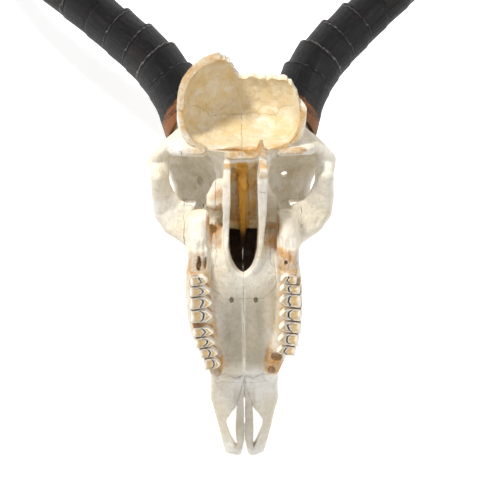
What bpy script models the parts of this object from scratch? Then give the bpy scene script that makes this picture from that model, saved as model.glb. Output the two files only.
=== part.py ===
"""Impala skull, life size, lying palate up on its muzzle and its horn tips.

The skull is modelled in its own frame, in millimetres: X is the animal's right, Y runs back
from the tip of the muzzle and Z points to the palate side, so the skull's roof is at negative Z.
The last step turns the skull into its resting pose on the floor and scales it to metres.
"""

import math

import bmesh
import bpy
from mathutils import Matrix, Vector

BONE_VOXEL = 1.15
BONE_TRIANGLES = 9600
SEAM_GAP = 0.3
SOCKET_SLACK = 0.8
SMOOTH_BELOW_DEG = 50.0
BONE_COLOUR = (0.72, 0.66, 0.54)
HORN_COLOUR = (0.035, 0.03, 0.03)
SHELL_SMOOTHING = 3
PIECE_KEEP = 0.56
HEALING_TRIES = 4
SLIVER = 0.25
THINNING_TRIES = 8
THINNING_STEP = 0.03

# Resting pose: the muzzle and both horn tips touch the floor.
REST_PITCH_DEG = 42.75
REST = Matrix.Scale(0.001, 4) @ Matrix.Rotation(math.radians(REST_PITCH_DEG), 4, "X")

# Stations of the face: distance back, palate level, roof level, half width low and half width high.
FACE = (
    (38, -11, -26, 18.5, 9),
    (50, -8, -35, 20, 10.5),
    (62, -4.5, -40, 22.5, 11.5),
    (76, -1.8, -45.5, 28.5, 13),
    (92, -1.2, -51.5, 33, 15),
    (110, -1.2, -58, 35.5, 18),
    (128, -2, -65, 35, 23.5),
    (142, -7, -72, 34, 30),
    (152, -18, -78, 32, 36),
)
ALVEOLAR_RIDGE = (
    (16.5, 60, -6, 4.2),
    (19, 70, -5, 5.2),
    (22, 80, -5, 6.2),
    (25.6, 92, -6, 7.4),
    (27.6, 106, -7, 8),
    (28.2, 120, -7, 8),
    (27.6, 135, -7, 7.4),
)
NASAL_CAVITY = (
    (26, -9, -30, 10, 7),
    (44, -10.5, -31, 13, 7.5),
    (58, -8.5, -35, 15, 8),
    (72, -6, -40, 18, 9),
    (90, -5.5, -46, 21, 10.5),
    (110, -5.5, -52, 22, 13),
    (128, -7, -58, 19, 15),
    (146, -20, -62, 11, 13),
)
FOREHEAD = (
    (138, -42, -71, 27, 27),
    (148, -44, -77, 32, 36),
    (160, -46, -83.5, 36, 45),
    (172, -47, -88.5, 37, 49),
    (184, -46, -92.5, 38, 49.5),
    (196, -46, -96, 37, 44),
    (208, -52, -97, 36, 37),
    (218, -58, -95, 34, 32),
)
ORBIT_SEPTUM = (
    (126, -56, -70, 15, 19),
    (142, -48, -76, 13, 20),
    (158, -41, -82, 12.5, 22),
    (174, -39, -86, 13, 24),
    (188, -36, -86, 16, 28),
    (200, -33, -80, 20, 30),
)
SECTION_POINTS = 36
SECTION_POWER = 2.7

# Braincase, an egg that is nearly square at its front, with its underside sawn away.
# Its reach is given across, back, front, towards the roof and towards the palate.
CASE_CENTRE = (0, 221, -55)
CASE_INNER = (35.6, 31, 20.5, 31.5, 60)
CASE_SKIN = 4.2
CASE_ROOF_SKIN = 9.2
CASE_DEPTH = 36
CASE_SQUARE = 3.6
CASE_ROUND = 2.4
CASE_WALL = 3.4
SAW_POINT = (0, 198, -33.5)
SAW_SLOPE_DEG = 35.0
SAW_LEAD = 2.0

BREAK_EDGE = (
    (-70, 256),
    (-15, 252.5),
    (-9.5, 245),
    (-5, 237),
    (-1.5, 229.5),
    (12, 229.5),
    (27, 232.5),
    (32, 229),
    (36, 221),
    (70, 214),
    (70, 280),
    (-70, 280),
)

# Horns. The centreline is walked from the base; each row is share of length and an angle.
HORN_BASE = (34, 199, -89)
HORN_LENGTH = 545.0
HORN_SPREAD = ((0, 18), (0.13, 46), (0.26, 47), (0.44, 33), (0.62, 8), (0.82, -10), (1, -14))
HORN_SIDE = {"left": (2.9, -1.0), "right": (-0.4, -2.2)}
HORN_RISE = ((0, 46), (0.15, 43), (0.35, 37), (0.55, 44), (0.75, 60), (1, 76))
HORN_RADIUS = ((0, 18.2), (0.05, 16.6), (0.2, 13.8), (0.45, 12.4), (0.7, 9.8), (0.88, 5.8), (1, 1.5))
HORN_OVAL = 1.2
HORN_SIDES = 14
RING_FIRST = 16.0
RING_SPACING = 15.5
RING_GROWTH = 1.045
RING_HEIGHT = 2.6
RING_FACE_DEG = 72.0
RIM_SLANT = 8.0
RIM_SLANT_REACH = 34.0
RIM_LOW_DEG = -95.0
SEAT_SLACK = 0.9
RING_COUNT = 19
RING_TILT = 5.0
SOCKET_DEPTH = 15.0
PEDICLE_ROOT = 14.0
PEDICLE_RADIUS = 14.4

# Cheek teeth, one row for each lobe: back edge, front edge, centre to the side, width.
CROWN_TOP = 7.5
CROWN_LEAN = 0.12
CUSP_RISE = 1.4
LOBE_OUTLINE = (
    (1, -0.98),
    (0.9, 0),
    (1, 0.98),
    (0.45, 1),
    (-0.4, 0.84),
    (-1, 0),
    (-0.4, -0.84),
    (0.45, -1),
)
LOBE_LEVELS = (
    (-6, 0.9, 0.92),
    (1.5, 1, 1),
    (CROWN_TOP - 1, 0.95, 0.96),
    (CROWN_TOP, 0.82, 0.8),
    (CROWN_TOP - 0.2, 0.5, 0.5),
    (CROWN_TOP - 1.7, 0.28, 0.3),
)
LOBES = {
    "left": (
        (137.0, 130.3, 26.4, 10.5),
        (130.0, 123.0, 26.0, 12.6),
        (122.6, 114.2, 25.6, 13.6),
        (113.9, 104.6, 25.4, 13.6),
        (101.6, 94.9, 24.6, 13.0),
        (94.5, 87.2, 23.6, 12.4),
        (86.8, 79.9, 21.4, 11.4),
        (79.6, 71.2, 19.4, 10.2),
    ),
    "right": (
        (137.0, 131.0, 27.0, 10.0),
        (130.6, 124.3, 27.8, 12.6),
        (124.0, 114.8, 28.0, 13.4),
        (114.2, 105.4, 28.2, 13.8),
        (104.9, 96.9, 28.0, 13.8),
        (96.6, 87.9, 26.9, 13.0),
        (87.5, 81.0, 25.6, 11.8),
    ),
}

# Sutures between the bones: outline, then the reach along the axis it is extruded on.
MIDLINE_PAIRS = (
    (
        "premaxilla",
        ((-20, 30), (55, 30), (55, -8), (61, -28), (64, -37), (46, -31.5), (-20, -31.5)),
        -40,
        40,
        "X",
    ),
    (
        "nasal",
        (
            (-7.5, 44),
            (7.5, 44),
            (8.5, 70),
            (10, 100),
            (12, 126),
            (7, 141),
            (-7, 141),
            (-12, 126),
            (-10, 100),
            (-8.5, 70),
        ),
        -120,
        -31.8,
        "Z",
    ),
)
SINGLE_BONES = (
    (
        "vomer",
        ((118, -28), (190, -28), (190, -40.5), (151, -43.5), (147, -60), (118, -60)),
        -3.4,
        3.4,
        "X",
    ),
    (
        "parietal",
        (
            (-70, 234),
            (-46, 227),
            (-26, 214),
            (-20, 208),
            (20, 208),
            (26, 214),
            (46, 227),
            (70, 234),
            (70, 300),
            (-70, 300),
        ),
        -130,
        30,
        "Z",
    ),
)
PALATINE_PLAN = (
    (0, 117),
    (12, 117),
    (19.5, 124),
    (19.5, 133),
    (16.5, 141),
    (16.5, 183),
    (-16.5, 183),
    (-16.5, 141),
    (-19.5, 133),
    (-19.5, 124),
    (-12, 117),
)
SIDE_PAIRS = (
    (
        "jugal",
        ((139, -46), (139, -15), (200, -15), (200, -50), (150, -50)),
        36.5,
        90,
        "X",
    ),
    (
        "lacrimal",
        ((122, -60), (128, -48), (150, -50.5), (152, -62), (150, -76), (128, -66)),
        25,
        90,
        "X",
    ),
)
MAXILLA_SIDE = (
    (40, 40),
    (176, 40),
    (178, -35),
    (152, -41),
    (146, -62),
    (139, -69),
    (135, -90),
    (40, -90),
)
SPHENOID_SIDE = ((146, -64), (191, -62), (196.5, -50), (196.5, -10), (146, -10))


def clear_scene():
    for item in list(bpy.data.objects):
        bpy.data.objects.remove(item)


def object_from(mesh_data, name):
    mesh = bpy.data.meshes.new(name)
    mesh_data.to_mesh(mesh)
    mesh_data.free()
    made = bpy.data.objects.new(name, mesh)
    bpy.context.scene.collection.objects.link(made)
    return made


def between(table, share):
    """Smooth value at a share of the way along a table of (share, value)."""
    for (low, first), (high, second) in zip(table, table[1:]):
        if share <= high:
            part = max(0.0, (share - low) / (high - low))
            part = part * part * (3 - 2 * part)
            return first + (second - first) * part
    return table[-1][1]


def refined(rows, steps):
    """Rows with Catmull-Rom rows added between them."""
    made = []
    for k in range(len(rows) - 1):
        before = rows[max(k - 1, 0)]
        after = rows[min(k + 2, len(rows) - 1)]
        for step in range(steps):
            t = step / steps
            made.append(
                tuple(
                    0.5
                    * (
                        2 * b
                        + (c - a) * t
                        + (2 * a - 5 * b + 4 * c - d) * t * t
                        + (3 * b - a - 3 * c + d) * t**3
                    )
                    for a, b, c, d in zip(before, rows[k], rows[k + 1], after)
                )
            )
    made.append(tuple(float(v) for v in rows[-1]))
    return made


def egg_section(y, floor_z, roof_z, floor_half, roof_half, power=SECTION_POWER):
    """Closed upright section whose width changes from the roof side to the palate side."""
    middle = (floor_z + roof_z) / 2
    half_height = (floor_z - roof_z) / 2
    points = []
    for k in range(SECTION_POINTS):
        angle = math.tau * k / SECTION_POINTS
        across = math.copysign(abs(math.cos(angle)) ** (2 / power), math.cos(angle))
        up = math.copysign(abs(math.sin(angle)) ** (2 / power), math.sin(angle))
        half = roof_half + (floor_half - roof_half) * (up + 1) / 2
        points.append(Vector((across * half, y, middle + up * half_height)))
    return points


def loft(name, sections):
    """Closed skin through sections that all have the same number of points."""
    mesh_data = bmesh.new()
    rings = [[mesh_data.verts.new(p) for p in section] for section in sections]
    for first, second in zip(rings, rings[1:]):
        count = len(first)
        for k in range(count):
            corners = (first[k], first[(k + 1) % count], second[(k + 1) % count], second[k])
            mesh_data.faces.new(corners)
    mesh_data.faces.new(list(reversed(rings[0])))
    mesh_data.faces.new(rings[-1])
    bmesh.ops.recalc_face_normals(mesh_data, faces=mesh_data.faces)
    return object_from(mesh_data, name)


def station_loft(name, stations):
    return loft(name, [egg_section(*row) for row in refined(stations, 4)])


def ellipsoid(name, centre, radii, turn=None, levels=5):
    mesh_data = bmesh.new()
    bmesh.ops.create_icosphere(mesh_data, subdivisions=levels, radius=1.0)
    shape = Matrix.Diagonal((*radii, 1.0))
    if turn:
        shape = turn.to_4x4() @ shape
    bmesh.ops.transform(mesh_data, matrix=Matrix.Translation(centre) @ shape, verts=mesh_data.verts)
    return object_from(mesh_data, name)


def egg(name, centre, reach, levels=5):
    """Egg with a nearly square front, whose centre is where its five reaches meet."""
    across, back, front, roof, palate = reach
    mesh_data = bmesh.new()
    bmesh.ops.create_icosphere(mesh_data, subdivisions=levels, radius=1.0)
    for vert in mesh_data.verts:
        a, b, c = vert.co
        power = CASE_ROUND if b > 0 else CASE_SQUARE
        plan = (abs(a) ** power + abs(b) ** power) ** (1 / power)
        size = 1 / math.sqrt(plan * plan + c * c)
        along = b * (back if b > 0 else front)
        vert.co = Vector((a * across, along, c * (palate if c > 0 else roof))) * size
    bmesh.ops.translate(mesh_data, verts=mesh_data.verts, vec=centre)
    return object_from(mesh_data, name)


def hull(name, balls):
    """Skin stretched over balls given as (x, y, z, radius)."""
    mesh_data = bmesh.new()
    for x, y, z, radius in balls:
        bmesh.ops.create_icosphere(
            mesh_data, subdivisions=2, radius=radius, matrix=Matrix.Translation((x, y, z))
        )
    bmesh.ops.delete(mesh_data, geom=list(mesh_data.edges), context="EDGES_FACES")
    made = bmesh.ops.convex_hull(mesh_data, input=mesh_data.verts)
    inside = [v for v in made["geom_interior"] if isinstance(v, bmesh.types.BMVert)]
    bmesh.ops.delete(mesh_data, geom=inside, context="VERTS")
    bmesh.ops.recalc_face_normals(mesh_data, faces=mesh_data.faces)
    return object_from(mesh_data, name)


def chain(name, groups):
    """Hulls over each pair of neighbouring groups of balls."""
    return [hull(name, first + second) for first, second in zip(groups, groups[1:])]


def prism(name, outline, low, high, axis):
    """Outline in the two other axes, extruded along axis from low to high."""
    mesh_data = bmesh.new()
    place = {
        "X": lambda a, b, c: (c, a, b),
        "Y": lambda a, b, c: (a, c, b),
        "Z": lambda a, b, c: (a, b, c),
    }[axis]
    base = [mesh_data.verts.new(place(a, b, low)) for a, b in outline]
    face = mesh_data.faces.new(base)
    made = bmesh.ops.extrude_face_region(mesh_data, geom=[face])
    top = [v for v in made["geom"] if isinstance(v, bmesh.types.BMVert)]
    bmesh.ops.translate(mesh_data, verts=top, vec=Vector(place(0, 0, high - low)))
    bmesh.ops.recalc_face_normals(mesh_data, faces=mesh_data.faces)
    return object_from(mesh_data, name)


def wall(name, path):
    """Thin upright wall along (x, y, top z, bottom z, thickness) stations."""
    rows = refined(path, 4)
    sections = []
    for k, (x, y, top, bottom, thickness) in enumerate(rows):
        ahead = rows[min(k + 1, len(rows) - 1)]
        behind = rows[max(k - 1, 0)]
        run = Vector((ahead[0] - behind[0], ahead[1] - behind[1]))
        side = Vector((run.y, -run.x)).normalized() * (thickness / 2)
        sections.append(
            [
                Vector((x + side.x, y + side.y, top)),
                Vector((x - side.x, y - side.y, top)),
                Vector((x - side.x, y - side.y, bottom)),
                Vector((x + side.x, y + side.y, bottom)),
            ]
        )
    return loft(name, sections)


def mirrored(item):
    """Copy on the other side of the midline."""
    made = item.copy()
    made.data = item.data.copy()
    bpy.context.scene.collection.objects.link(made)
    made.data.transform(Matrix.Scale(-1, 4, (1, 0, 0)))
    made.data.flip_normals()
    return made


def both(items):
    return [made for item in items for made in (item, mirrored(item))]


def apply_modifiers(item):
    graph = bpy.context.evaluated_depsgraph_get()
    mesh = bpy.data.meshes.new_from_object(item.evaluated_get(graph))
    item.modifiers.clear()
    item.data = mesh
    return item


def joined(name, items):
    """One object that holds the meshes of all the items, which are removed."""
    mesh_data = bmesh.new()
    for item in items:
        mesh_data.from_mesh(item.data)
        bpy.data.objects.remove(item)
    return object_from(mesh_data, name)


def fused(name, items, voxel=BONE_VOXEL, smoothing=SHELL_SMOOTHING):
    """Items melted into one skin, its creases softened."""
    made = joined(name, items)
    remesh = made.modifiers.new("melt", "REMESH")
    remesh.mode = "VOXEL"
    remesh.voxel_size = voxel
    if smoothing:
        soften = made.modifiers.new("soften", "SMOOTH")
        soften.factor = 0.5
        soften.iterations = smoothing
    return apply_modifiers(made)


def combined(item, tool, operation, solver="MANIFOLD"):
    """The item after one Boolean with the tool, which is removed."""
    modifier = item.modifiers.new("combine", "BOOLEAN")
    modifier.operation = operation
    modifier.solver = solver
    modifier.object = tool
    apply_modifiers(item)
    bpy.data.objects.remove(tool)
    return item


def cut(item, tools):
    for tool in tools:
        combined(item, tool, "DIFFERENCE")
    return item


def largest_piece(item):
    """Keeps only the largest closed surface of the item."""
    mesh_data = bmesh.new()
    mesh_data.from_mesh(item.data)
    left = set(mesh_data.verts)
    pieces = []
    while left:
        stack = [left.pop()]
        piece = set(stack)
        while stack:
            for edge in stack.pop().link_edges:
                for vert in edge.verts:
                    if vert in left:
                        left.discard(vert)
                        piece.add(vert)
                        stack.append(vert)
        pieces.append(piece)
    pieces.sort(key=lambda piece: -len(piece))
    for piece in pieces[1:]:
        bmesh.ops.delete(mesh_data, geom=list(piece), context="VERTS")
    mesh_data.to_mesh(item.data)
    mesh_data.free()
    return item


def horn_walk(steps, side):
    """Centres and headings along a horn on the right, in equal steps of its length."""
    lean, shift = HORN_SIDE[side]
    centre = Vector(HORN_BASE) + Vector((shift, 0, 0))
    rows = []
    for k in range(steps + 1):
        share = k / steps
        spread = math.radians(between(HORN_SPREAD, share) + lean)
        rise = math.radians(between(HORN_RISE, share))
        heading = Vector(
            (
                math.sin(spread),
                math.cos(spread) * math.cos(rise),
                -math.cos(spread) * math.sin(rise),
            )
        )
        rows.append((centre.copy(), heading))
        centre += heading * (HORN_LENGTH / steps)
    return rows


def horn_axes(rows):
    """Front and side directions carried along the horn without twist."""
    front = Vector((0, -0.6, -0.8))
    made = []
    for _, heading in rows:
        front = (front - heading * front.dot(heading)).normalized()
        made.append((front.copy(), heading.cross(front).normalized()))
    return made


def ring_lift(along, reach):
    """Height of the growth rings at a distance along the horn, steep on the tip side."""
    place = RING_FIRST
    pitch = RING_SPACING
    for k in range(RING_COUNT):
        if place - pitch <= along < place:
            part = (along - (place - pitch)) / pitch
            fade = 1 - max(0.0, (k - RING_COUNT + 6) / 6)
            start = min(1.0, (k + 1.5) / 3)
            return reach * fade * start * part**1.6
        place += pitch
        pitch *= RING_GROWTH
    return 0.0


def ring_stations():
    """Distances along the horn where a section is needed: foot, flank and crest of each ring."""
    stations = [0.0, 6.0]
    place = RING_FIRST
    pitch = RING_SPACING
    for _ in range(RING_COUNT):
        stations += [place - 0.45 * pitch, place - 0.12 * pitch, place - 0.01, place + 0.1 * pitch]
        place += pitch
        pitch *= RING_GROWTH
    smooth_from = place - pitch / RING_GROWTH + 8
    while smooth_from < HORN_LENGTH - 6:
        stations.append(smooth_from)
        smooth_from += max(6.0, (HORN_LENGTH - smooth_from) * 0.2)
    stations += [HORN_LENGTH - 3, HORN_LENGTH]
    return sorted(set(stations))


def horn_sheath(name, side, slack=0.0):
    """Outer skin of a sheath, on the right; slack makes the seat that it is cut from."""
    steps = 400
    rows = horn_walk(steps, side)
    axes = horn_axes(rows)
    ring_face = math.radians(RING_FACE_DEG)
    rim_low = math.radians(RIM_LOW_DEG)
    sections = []
    for along in ring_stations():
        share = along / HORN_LENGTH
        place = min(steps - 1, int(share * steps))
        part = share * steps - place
        centre = rows[place][0].lerp(rows[place + 1][0], part)
        heading = rows[place][1]
        front, across = axes[place]
        radius = between(HORN_RADIUS, share) + slack
        slant = RIM_SLANT * max(0.0, 1 - along / RIM_SLANT_REACH)
        section = []
        for k in range(HORN_SIDES):
            angle = math.tau * k / HORN_SIDES
            facing = max(0.0, 0.5 + 0.5 * math.cos(angle - ring_face))
            lift = ring_lift(along, RING_HEIGHT * (0.15 + 0.85 * facing))
            tilt = RING_TILT * math.cos(angle - ring_face) * min(1, along / 60)
            tilt *= max(0.0, 1 - share * 1.2)
            tilt -= slant * math.cos(angle - rim_low) + (slack if along == 0 else 0)
            out = front * (math.cos(angle) * (radius * HORN_OVAL + lift))
            out += across * (math.sin(angle) * (radius + lift))
            section.append(centre + out + heading * tilt)
        sections.append(section)
    return loft(name, sections)


def pedicle(name, side, slack, end_gap):
    """Bony stump that the sheath sits on, or its socket when slack is added."""
    rows = horn_walk(400, side)
    front, across = horn_axes(rows)[0]
    base, heading = rows[0]
    depth = SOCKET_DEPTH + end_gap
    stations = (
        (-PEDICLE_ROOT, PEDICLE_RADIUS - 1),
        (-4, PEDICLE_RADIUS),
        (depth * 0.6, PEDICLE_RADIUS - 1.6),
        (depth, PEDICLE_RADIUS - 5),
    )
    sections = []
    for along, radius in stations:
        section = []
        for k in range(HORN_SIDES):
            angle = math.tau * k / HORN_SIDES
            wide = math.cos(angle) * (radius + slack) * HORN_OVAL
            deep = math.sin(angle) * (radius + slack)
            section.append(base + heading * along + front * wide + across * deep)
        sections.append(section)
    return loft(name, sections)


def case_shell():
    """Outer form of the braincase."""
    across, back, front, roof, _ = CASE_INNER
    reach = (across + CASE_SKIN, back + CASE_SKIN, front + CASE_SKIN, roof + CASE_ROOF_SKIN, CASE_DEPTH)
    return egg("case", CASE_CENTRE, reach)


def skull_bulk():
    """Solid of the face, forehead and braincase with its cavities cut."""
    lumps = [
        station_loft("face", FACE),
        station_loft("forehead", FOREHEAD),
        station_loft("septum", ORBIT_SEPTUM),
        case_shell(),
    ]
    lumps += both(
        [
            hull(
                "tuber",
                [(27, 134, -4, 6.5), (27.5, 149, -13, 5.5), (27, 162, -27, 6.5), (29, 146, -32, 7)],
            ),
            hull("pedicle_burr", [(30, 196, -84, 15), (33, 200, -90, 16)]),
            hull("lacrimal", [(33, 138, -62, 6), (38, 145, -64, 5), (38, 144, -48, 5), (30, 138, -34, 6)]),
        ]
    )
    ridge = [[ball] for ball in ALVEOLAR_RIDGE]
    lumps += both(chain("alveolar", ridge))
    bulk = fused("bulk", lumps)
    cutters = [
        station_loft("nasal_cavity", NASAL_CAVITY),
        brain(0),
        duct_cutter(),
        naris_cutter(),
    ]
    cutters += both(
        [
            ellipsoid("orbit", (43, 167, -62.5), (29, 22.5, 21.5)),
            ellipsoid("tuber_end", (28, 171.5, -27), (7.5, 7, 12)),
            fossa_cutter(),
        ]
    )
    return cut(bulk, cutters)


def duct_cutter():
    """Passage behind the palate, open below, with a rounded V at its front."""
    half = ((0, 130), (3.5, 132), (6.8, 137.5), (9, 146), (9.8, 156), (10, 192))
    outline = [*half, *[(-x, y) for x, y in reversed(half[1:])]]
    return prism("duct", outline, -39.5, 8, "Z")


def naris_cutter():
    """Slanted front opening of the nose."""
    outline = ((0, -70), (0, -12), (22, -12), (36, -20), (48, -28.5), (56, -34), (51, -41), (44, -70))
    return prism("naris", outline, -40, 40, "X")


def fossa_cutter():
    """Open space under the orbit, between the cheek and the braincase."""
    low = [(21, 171, 8, 8), (21, 187, 8, 8), (42, 186, 8, 8), (51, 174, 8, 8), (42, 168, 8, 8)]
    deep = [
        (21, 172, -44, 8),
        (21, 187.5, -48, 8),
        (26, 182, -62, 9),
        (40, 184.5, -60, 9),
        (46, 174, -60, 9),
    ]
    return hull("fossa", [*low, *deep])


def cheek():
    """Orbit rim and roof, cheekbone and the bar behind the eye."""
    rim = [
        (41, 145, -50, 4),
        (42.5, 144, -62, 4),
        (40, 148, -75, 3.6),
        (41.5, 158, -83, 3.2),
        (46, 169, -87, 3.4),
        (48, 177, -85.5, 3.6),
        (48.8, 182, -79, 3.6),
        (53, 184.5, -68, 4),
        (54.5, 186.5, -54, 4.4),
        (52.5, 183, -44, 4.6),
    ]
    made = chain("rim", [[ball] for ball in rim])
    made += chain(
        "roof",
        [
            [(24, 150, -76, 3), (35, 149.5, -77.5, 2.4)],
            [(22, 160, -82, 3), (41, 160, -83, 2.2)],
            [(20, 172, -87, 3), (48, 172, -86, 2.4)],
            [(24, 186, -84, 5), (49, 181, -81, 3)],
            [(26, 197, -72, 4), (44, 193, -66, 3.4)],
            [(24, 199, -50, 2.6), (36, 199, -50, 2.6), (43, 197.5, -52, 3)],
            [(24, 199, -37, 2.6), (35, 199.5, -37, 2.6), (42, 199, -40, 2.8)],
        ],
    )
    made += chain(
        "back_bar",
        [
            [(36, 200, -44, 3.6), (34, 204, -64, 4)],
            [(46, 197.5, -48, 3.2), (45, 194, -64, 4.4)],
            [(53, 190, -50, 4), (53, 186, -64, 4)],
        ],
    )
    bar = [(49.8, 188, -50, 4), (49.4, 181, -46, 4.2), (48, 175, -44, 3.2), (45, 171, -43, 2.4)]
    made += chain("bar", [[ball] for ball in bar])
    made += chain(
        "jugal",
        [
            [(33, 144, -30, 5), (35, 144, -46, 4)],
            [(46, 149, -37, 4), (43.5, 149, -48, 3.5), (32.5, 160, -40, 3)],
            [(51.5, 156, -40.5, 4), (51, 157, -48, 3), (40, 163, -42, 2.4)],
            [(52.6, 167, -41, 4), (52, 168, -47, 3), (46, 172, -43, 2.4)],
            [(52.5, 181, -40.5, 4.4), (50.6, 180, -43, 4.2)],
        ],
    )
    return both(made)


def palatine_walls():
    """Upright plates beside the passage behind the palate, the left one broken lower."""
    right = (
        (0.2, 130.5, -3, -9, 2.4),
        (4.5, 132.5, -3, -12, 2.4),
        (8.2, 138, -3.5, -20, 2.4),
        (10.4, 147, -5, -42, 2.6),
        (11.6, 160, -9, -42, 3.8),
        (12, 174, -12, -42, 5),
        (12, 186, -13, -42, 5.6),
        (13, 196, -15, -40, 5),
    )
    left = (
        (-0.2, 130.5, -3, -9, 2.4),
        (-4.5, 132.5, -3, -12, 2.4),
        (-8.2, 138, -3.5, -20, 2.4),
        (-10.2, 147, -6, -42, 2.6),
        (-10.2, 157, -14, -42, 3.6),
        (-9.8, 172, -16, -42, 4.6),
        (-9.4, 186, -22, -42, 4.4),
        (-9, 194, -30, -42, 4),
    )
    return [wall("palatine_right", right), wall("palatine_left", left)]


def vomer_wall():
    """Keel in the roof of the passage, thinner towards its front."""
    path = (
        (0, 128, -46, -58, 2.4),
        (0, 140, -38, -58, 2.8),
        (0, 156, -34.5, -44, 3.6),
        (0, 172, -34, -42, 5),
        (0, 184, -36, -42, 5.6),
    )
    return wall("vomer_wall", path)


def sphenoid_lumps():
    """Wedge of bone in front of the braincase, and the swollen cell beside the left plate."""
    wedge = [
        (0, 184, -38.5, 1.2),
        (-6.5, 195, -37, 3.6),
        (6.5, 195, -37, 3.6),
        (-7, 198, -36, 3.6),
        (7, 198, -36, 3.6),
    ]
    cell = [(-16, 168, -32, 5.5), (-14.5, 178, -36, 4), (-20, 166, -38, 4)]
    return [hull("wedge", wedge), hull("cell", cell)]


def spur():
    """Splinter that stands over the front edge of the sawn braincase."""
    return hull("spur", [(8, 196.5, -36, 2.4), (14, 196.5, -35, 2.4), (11.6, 204, -38, 1)])


def premaxilla_lumps():
    plate = chain(
        "plate",
        [
            [(4.9, 3.4, -5, 3.2), (9.6, 5.4, -5.5, 3.7)],
            [(1.9, 12, -4.5, 1.5), (12.2, 13, -7, 3)],
            [(1.9, 28, -5, 1.5), (15.6, 28, -9, 3)],
            [(1.9, 42, -5.2, 1.5), (18.8, 42, -10, 3)],
            [(1.9, 58, -5.5, 1.8), (18.4, 58, -10, 3)],
        ],
    )
    side = chain(
        "side",
        [
            [(15, 26, -9, 2.6), (14.4, 26, -12, 2)],
            [(17.6, 36, -9, 2.8), (16, 36, -20, 2)],
            [(18.9, 46, -10, 2.8), (15.8, 46, -28, 2)],
            [(19, 60, -12, 2.8), (13.6, 60, -34, 2)],
        ],
    )
    tip = hull("nasal_tip", [(3.2, 50, -34.6, 1.7), (2.5, 62, -39, 2.2), (8.6, 62, -38, 2.2)])
    return both([*plate, *side, tip])


def fissure_cutters():
    """Long openings on each side of the midline at the front of the palate."""
    outline = ((4.6, 41.5), (8.6, 36), (11.3, 30), (11, 24), (9.4, 18), (5.4, 10.5), (4.9, 20), (5, 32))
    slit = ((-0.9, -5), (0.9, -5), (0.7, 9), (0.2, 14), (-0.2, 14), (-0.7, 9))
    return [*both([prism("fissure", outline, -16, 4, "Z")]), prism("tip_slit", slit, -16, 4, "Z")]


def saw_cutter():
    """Block behind the saw cut that opened the braincase."""
    slope = math.radians(SAW_SLOPE_DEG)
    along = Vector((0, math.cos(slope), -math.sin(slope)))
    out = Vector((0, math.sin(slope), math.cos(slope)))
    start = Vector(SAW_POINT)
    near = start - along * SAW_LEAD
    far = start + along * 90
    corners = (near, far, far + out * 90, near + out * 90)
    return prism("saw", [(c.y, c.z) for c in corners], -60, 60, "X")


def break_cutter():
    """Broken back edge of the braincase roof, which reaches furthest on the left."""
    return prism("break", BREAK_EDGE, -110, -40, "Z")


def foramina():
    """Small openings: brow holes, cheek holes, palate holes and the empty tooth sockets."""
    made = both(
        [
            ellipsoid("brow_hole", (27, 165, -86), (2.4, 2.4, 12)),
            ellipsoid("cheek_hole", (30, 74, -19), (6, 4, 2.6)),
            ellipsoid("palate_hole", (7.4, 116, -2), (1.4, 2.2, 3)),
            ellipsoid("vacuity", (25, 133, -64), (9, 8.5, 2.4), Matrix.Rotation(math.radians(25), 3, "X")),
        ]
    )
    made += [
        ellipsoid("socket", (-16.6, 64.5, 0), (2.6, 3.6, 6)),
        ellipsoid("socket", (17, 66, 0), (2.6, 3.6, 6)),
        ellipsoid("socket", (20.4, 76.5, 0), (3.8, 3.6, 6)),
        ellipsoid("tuber_pit", (-27, 140.5, -3), (1.9, 4.6, 5)),
        ellipsoid("tuber_pit", (-22.6, 141, -3), (1.2, 4, 5)),
        ellipsoid("tuber_pit", (26, 141, -3), (1.5, 2, 4)),
    ]
    return made


def tooth_lobe(side, row):
    """Crown of one lobe: flat cheek side, round tongue side, worn top with a hollow between."""
    back, front, across, width = row
    middle = (back + front) / 2
    reach = (back - front) / 2
    half = width / 2
    sections = []
    for level, wide, long in LOBE_LEVELS:
        lean = CROWN_LEAN * (CROWN_TOP - level)
        saddle = CUSP_RISE if wide > 0.6 and level > CROWN_TOP - 1.5 else 0
        sections.append(
            [
                Vector(
                    (
                        across + half * wide * a + lean,
                        middle + reach * long * b,
                        level + saddle * (a * a - 0.5),
                    )
                )
                for a, b in LOBE_OUTLINE
            ]
        )
    return loft("lobe_" + side, sections)


def skull_mass():
    """The whole skull in one skin, teeth included, horn sheaths left out."""
    bulk = skull_bulk()
    thin = [*cheek(), *palatine_walls(), *sphenoid_lumps(), vomer_wall(), *premaxilla_lumps()]
    mass = fused("mass", [bulk, *thin])
    cut(mass, [saw_cutter(), break_cutter(), *foramina(), *fissure_cutters()])
    for side in HORN_SIDE:
        seat = combined(horn_sheath("seat", side, SEAT_SLACK), brain(CASE_WALL), "DIFFERENCE")
        combined(mass, placed(seat, side), "DIFFERENCE")
        combined(mass, placed(pedicle("pedicle", side, 0, 0), side), "UNION")
    cut(mass, [brain(0)])
    combined(mass, spur(), "UNION")
    largest_piece(mass)
    thinned(mass, BONE_TRIANGLES)
    for side, rows in LOBES.items():
        for row in rows:
            combined(mass, placed(tooth_lobe(side, row), side), "UNION")
    return mass


def brain(wall):
    """Hollow of the braincase, or the hollow with its wall."""
    return egg("brain", CASE_CENTRE, [reach + wall for reach in CASE_INNER])


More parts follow.
